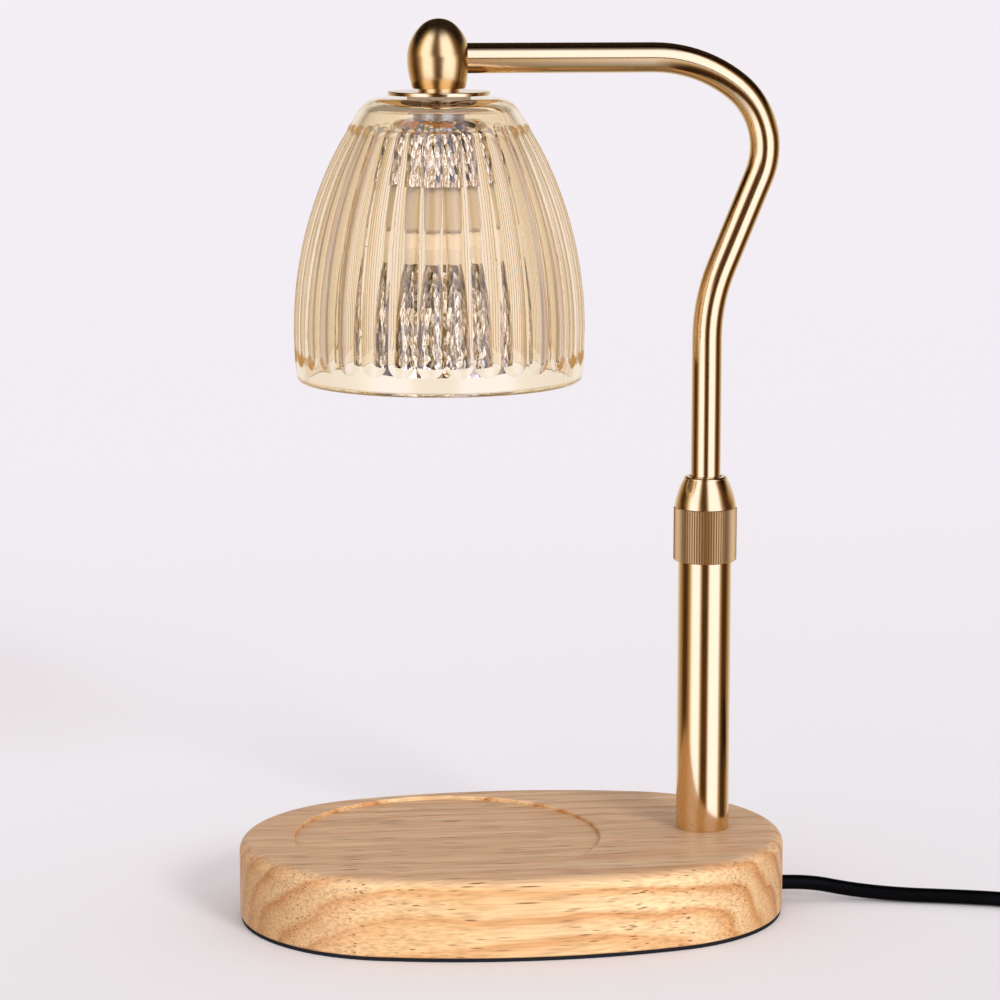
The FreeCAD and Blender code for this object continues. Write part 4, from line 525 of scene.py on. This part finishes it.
# painted glow: the glass emits a deep amber where caught light would go black
painted_amber_glow = add(tree, "ShaderNodeEmission", {"Color": colour("CC9C62"), "Strength": 0.9})
ending = add(tree, "ShaderNodeMixShader", {0: caught.outputs["Value"], 1: shader.outputs["BSDF"],
             2: painted_amber_glow.outputs["Emission"]})
soft_path = add(tree, "ShaderNodeMath", {0: path.outputs["Is Shadow Ray"], 1: path.outputs["Is Diffuse Ray"]},
                operation="MAXIMUM")
see_through = add(tree, "ShaderNodeBsdfTransparent", {"Color": colour("FAF2E6")})
lit_glass = add(tree, "ShaderNodeMixShader", {0: soft_path.outputs["Value"], 1: ending.outputs["Shader"],
                2: see_through.outputs["BSDF"]})
tree.links.new(lit_glass.outputs["Shader"], tree.nodes["Material Output"].inputs["Surface"])
paint(amber_glass, "glass_shade")

# %% [markdown]
# The bulb's front disc and its capsule are clear borosilicate glass, which bends light a little less.

# %% Clear glass
clear_glass, tree, shader, place = material("clear_bulb_glass", Base_Color=colour("FFFFFF"), Roughness=0.0,
                                            IOR=1.47, Transmission_Weight=1.0)
paint(clear_glass, "bulb_front_glass", "bulb_capsule")

# %% [markdown]
# ## The studio
# The lamp stands on a wide pale sheet of paper, its colour painted a little darker in front than far away as
# painted shade. It is hidden from mirrors and glass, which see the soft boxes below instead.

# %% Floor
SHEET_SIZE = 60
PAINTED_SHADE_FROM, PAINTED_SHADE_TO = -0.3, 4.0  # metres behind the lamp
bpy.ops.object.select_all(action="DESELECT")
bpy.ops.mesh.primitive_plane_add(size=SHEET_SIZE)
floor = bpy.context.object
floor.name = "floor"
paper, tree, shader, place = material("pale_paper_painted_shade", Roughness=0.9, Specular_IOR_Level=0.0)
depth = add(tree, "ShaderNodeSeparateXYZ", {"Vector": place})
away = add(tree, "ShaderNodeMapRange", {"Value": depth.outputs["Y"], "From Min": PAINTED_SHADE_FROM,
           "From Max": PAINTED_SHADE_TO})
# painted shade: the paper's colour is darker in front and lighter far away
painted_shade_grade = add(tree, "ShaderNodeValToRGB", {"Fac": away.outputs["Result"]},
            stops=[(0.0, "DCD9DA"), (0.1, "E4E1E3"), (0.3, "E9E6E9"), (1.0, "EBE8EC")])
feed(tree, shader, Base_Color=painted_shade_grade.outputs["Color"])
paint(paper, floor)
floor.visible_glossy = False
floor.visible_transmission = False

# %% [markdown]
# ### The world
# The light is a soft dome. Polished metal and glass also see what a photographer puts round such a piece: long
# soft boxes on each side of the camera, with dark gaps between them. Those turn into the bright and dark stripes
# that make a metal tube look like metal. Each direction has a bearing, seen from the lamp, and a height.

# %% Directions
world = bpy.data.worlds.new("studio")
bpy.context.scene.world = world
world.use_nodes = True
world.cycles.sampling_method = "NONE"
tree = world.node_tree
ways = add(tree, "ShaderNodeTexCoord").outputs["Generated"]
RIGHT = (math.cos(SIDE_ANGLE), -math.sin(SIDE_ANGLE), 0)
NEAR = (-math.sin(SIDE_ANGLE), -math.cos(SIDE_ANGLE), 0)
across = add(tree, "ShaderNodeVectorMath", {0: ways, 1: RIGHT}, operation="DOT_PRODUCT")
towards = add(tree, "ShaderNodeVectorMath", {0: ways, 1: NEAR}, operation="DOT_PRODUCT")
bearing = add(tree, "ShaderNodeMath", {0: across.outputs["Value"], 1: towards.outputs["Value"]},
              operation="ARCTAN2")
rise = add(tree, "ShaderNodeSeparateXYZ", {"Vector": ways})
lift = add(tree, "ShaderNodeMath", {0: rise.outputs["Z"]}, operation="ARCSINE")
print("the studio's front looks", round(math.degrees(SIDE_ANGLE), 1), "degrees to the left")

# %% [markdown]
# A colour ramp over the bearing holds the soft boxes. Above the horizon they lean in a little from the right, so
# that the level arm mirrors one of them.

# %% Soft boxes
BOX = "CAD6FF"
DARK_GAP = "33210F"
# bearings in degrees: 0 is the camera, minus is its left, 180 is the backdrop
SOFT_BOXES = [
    (-180, "9E9C9C"), (-150, "9C9A98"), (-136, "867E74"), (-118, "6C5941"), (-104, DARK_GAP), (-84, DARK_GAP),
    (-70, "7A6A50"), (-59, "BCBEC0"), (-54, BOX), (-26, BOX), (-18, "867860"), (-11, DARK_GAP),
    (9, DARK_GAP), (14, "8A7A62"), (21, BOX), (60, BOX), (71, "7C6A50"), (82, DARK_GAP), (104, DARK_GAP),
    (118, "6C5941"), (146, "9C9A9A"), (180, "9E9C9C"),
]
LEAN_FROM, LEAN_TO, LEAN = math.radians(3), math.radians(6), math.radians(8)
leaning = add(tree, "ShaderNodeMapRange", {"Value": lift.outputs["Value"], "From Min": LEAN_FROM,
              "From Max": LEAN_TO, "To Min": 0.0, "To Max": LEAN})
leant = add(tree, "ShaderNodeMath", {0: bearing.outputs["Value"], 1: leaning.outputs["Result"]},
            operation="ADD")
turned = add(tree, "ShaderNodeMapRange", {"Value": leant.outputs["Value"], "From Min": -math.pi,
             "From Max": math.pi})
stripes = add(tree, "ShaderNodeValToRGB", {"Fac": turned.outputs["Result"]},
              stops=[((angle + 180) / 360, code) for angle, code in SOFT_BOXES])
print("stops round the lamp:", len(SOFT_BOXES))

# %% [markdown]
# Two more ramps say how bright each height is, one in front and one behind. The boxes end below the zenith, and
# the table, which lies below the horizon, is darker and warmer.

# %% Heights
FRONT_HEIGHTS = [(-90, "63542E"), (-73, "75684A"), (-54, "9A9282"), (-35, "CEC8C4"), (-20, "FFFFFF"),
                 (52, "FFFFFF"), (66, "7C746C"), (78, "241E1C"), (90, "241E1C")]
BACK_HEIGHTS = [(-90, "63542E"), (-60, "9A9282"), (-30, "FFFFFF"), (12, "FFFFFF"), (22, "3A3230"),
                (90, "241E1C")]
lifted = add(tree, "ShaderNodeMapRange", {"Value": lift.outputs["Value"], "From Min": -math.pi / 2,
             "From Max": math.pi / 2})
front_tone, back_tone = [
    add(tree, "ShaderNodeValToRGB", {"Fac": lifted.outputs["Result"]},
        stops=[((angle + 90) / 180, code) for angle, code in heights])
    for heights in (FRONT_HEIGHTS, BACK_HEIGHTS)
]
behind = add(tree, "ShaderNodeMapRange", {"Value": towards.outputs["Value"], "From Min": 0.08,
             "From Max": -0.08})
height_tone = add(tree, "ShaderNodeMix", {"Factor": behind.outputs["Result"], MIX_A: front_tone.outputs["Color"],
                  MIX_B: back_tone.outputs["Color"]}, data_type="RGBA")
shaped = add(tree, "ShaderNodeMix", {"Factor": 1.0, MIX_A: stripes.outputs["Color"],
             MIX_B: height_tone.outputs[MIXED]}, data_type="RGBA", blend_type="MULTIPLY")
print("stops up the front and the back:", len(FRONT_HEIGHTS), len(BACK_HEIGHTS))

# %% [markdown]
# A small dark gap between a box and the table's edge shows on the level arm as a thin dark line.

# %% The gap at the horizon
GAP_BEARING, GAP_HALF_WIDTH, GAP_HALF_HEIGHT = math.radians(15), math.radians(5), math.radians(3.5)
gap_side = add(tree, "ShaderNodeMath", {0: bearing.outputs["Value"], 1: GAP_BEARING, 2: GAP_HALF_WIDTH},
               operation="COMPARE")
gap_height = add(tree, "ShaderNodeMath", {0: lift.outputs["Value"], 1: 0.0, 2: GAP_HALF_HEIGHT},
                 operation="COMPARE")
gap = add(tree, "ShaderNodeMath", {0: gap_side.outputs["Value"], 1: gap_height.outputs["Value"]},
          operation="MULTIPLY")
gapped = add(tree, "ShaderNodeMix", {"Factor": gap.outputs["Value"], MIX_A: shaped.outputs[MIXED],
             MIX_B: colour(DARK_GAP)}, data_type="RGBA")
print("gap in degrees:", round(math.degrees(2 * GAP_HALF_WIDTH)), "by", round(math.degrees(2 * GAP_HALF_HEIGHT)))

# %% [markdown]
# What each kind of ray sees: the camera a plain pale backdrop, dull surfaces an even dome, and mirrors the soft
# boxes at full strength. Light that comes through the glass sees them with softer, amber shadows.

# %% What each ray sees
BOX_STRENGTH = 2.5
SOFTER_THROUGH_GLASS = 0.22
AMBER_LIGHT = (1.5, 1.3, 1.05, 1)
DOME = (0.88, 0.86, 0.88, 1)
BACKDROP = (1.0, 0.98, 0.99, 1)
boxes = add(tree, "ShaderNodeVectorMath", {0: gapped.outputs[MIXED], "Scale": BOX_STRENGTH}, operation="SCALE")
rays = add(tree, "ShaderNodeLightPath")
through = add(tree, "ShaderNodeMath", {0: rays.outputs["Is Transmission Ray"], 1: SOFTER_THROUGH_GLASS},
              operation="MULTIPLY")
softened = add(tree, "ShaderNodeMix", {"Factor": through.outputs["Value"], MIX_A: boxes.outputs["Vector"],
               MIX_B: AMBER_LIGHT}, data_type="RGBA")
lit = add(tree, "ShaderNodeMix", {"Factor": rays.outputs["Is Diffuse Ray"], MIX_A: softened.outputs[MIXED],
          MIX_B: DOME}, data_type="RGBA")
seen = add(tree, "ShaderNodeMix", {"Factor": rays.outputs["Is Camera Ray"], MIX_A: lit.outputs[MIXED],
           MIX_B: BACKDROP}, data_type="RGBA")
tree.links.new(seen.outputs[MIXED], tree.nodes["Background"].inputs["Color"])
print("dome:", DOME[:3], "backdrop:", BACKDROP[:3])

# %% [markdown]
# ### The lamps
# The key light comes from the front right. It is far away and wide, so that it lies evenly on the whole table and
# gives soft shadows. A weak square lamp on the left fills them. Mirrors and glass don't see either.

# %% Key light and fill


def hang_lamp(name, kind, energy, way, place=(0, 0, 0)):
    """A lamp at a place that shines along a direction."""
    lamp = bpy.data.lights.new(name, kind)
    lamp.energy = energy
    holder = bpy.data.objects.new(name, lamp)
    holder.location = place
    holder.rotation_euler = Vector(way).to_track_quat("-Z", "Y").to_euler()
    holder.visible_glossy = False
    holder.visible_transmission = False
    bpy.context.scene.collection.objects.link(holder)
    print(name, "shines along", way)
    return lamp


key_light = hang_lamp("key_light", "SUN", energy=1.47, way=(-0.40, 0.81, -0.44))
key_light.angle = math.radians(16)
fill = hang_lamp("front_left", "AREA", energy=1.5, way=(0.7, 1.2, -0.7), place=(-0.7, -1.2, 0.8))
fill.size = 0.7
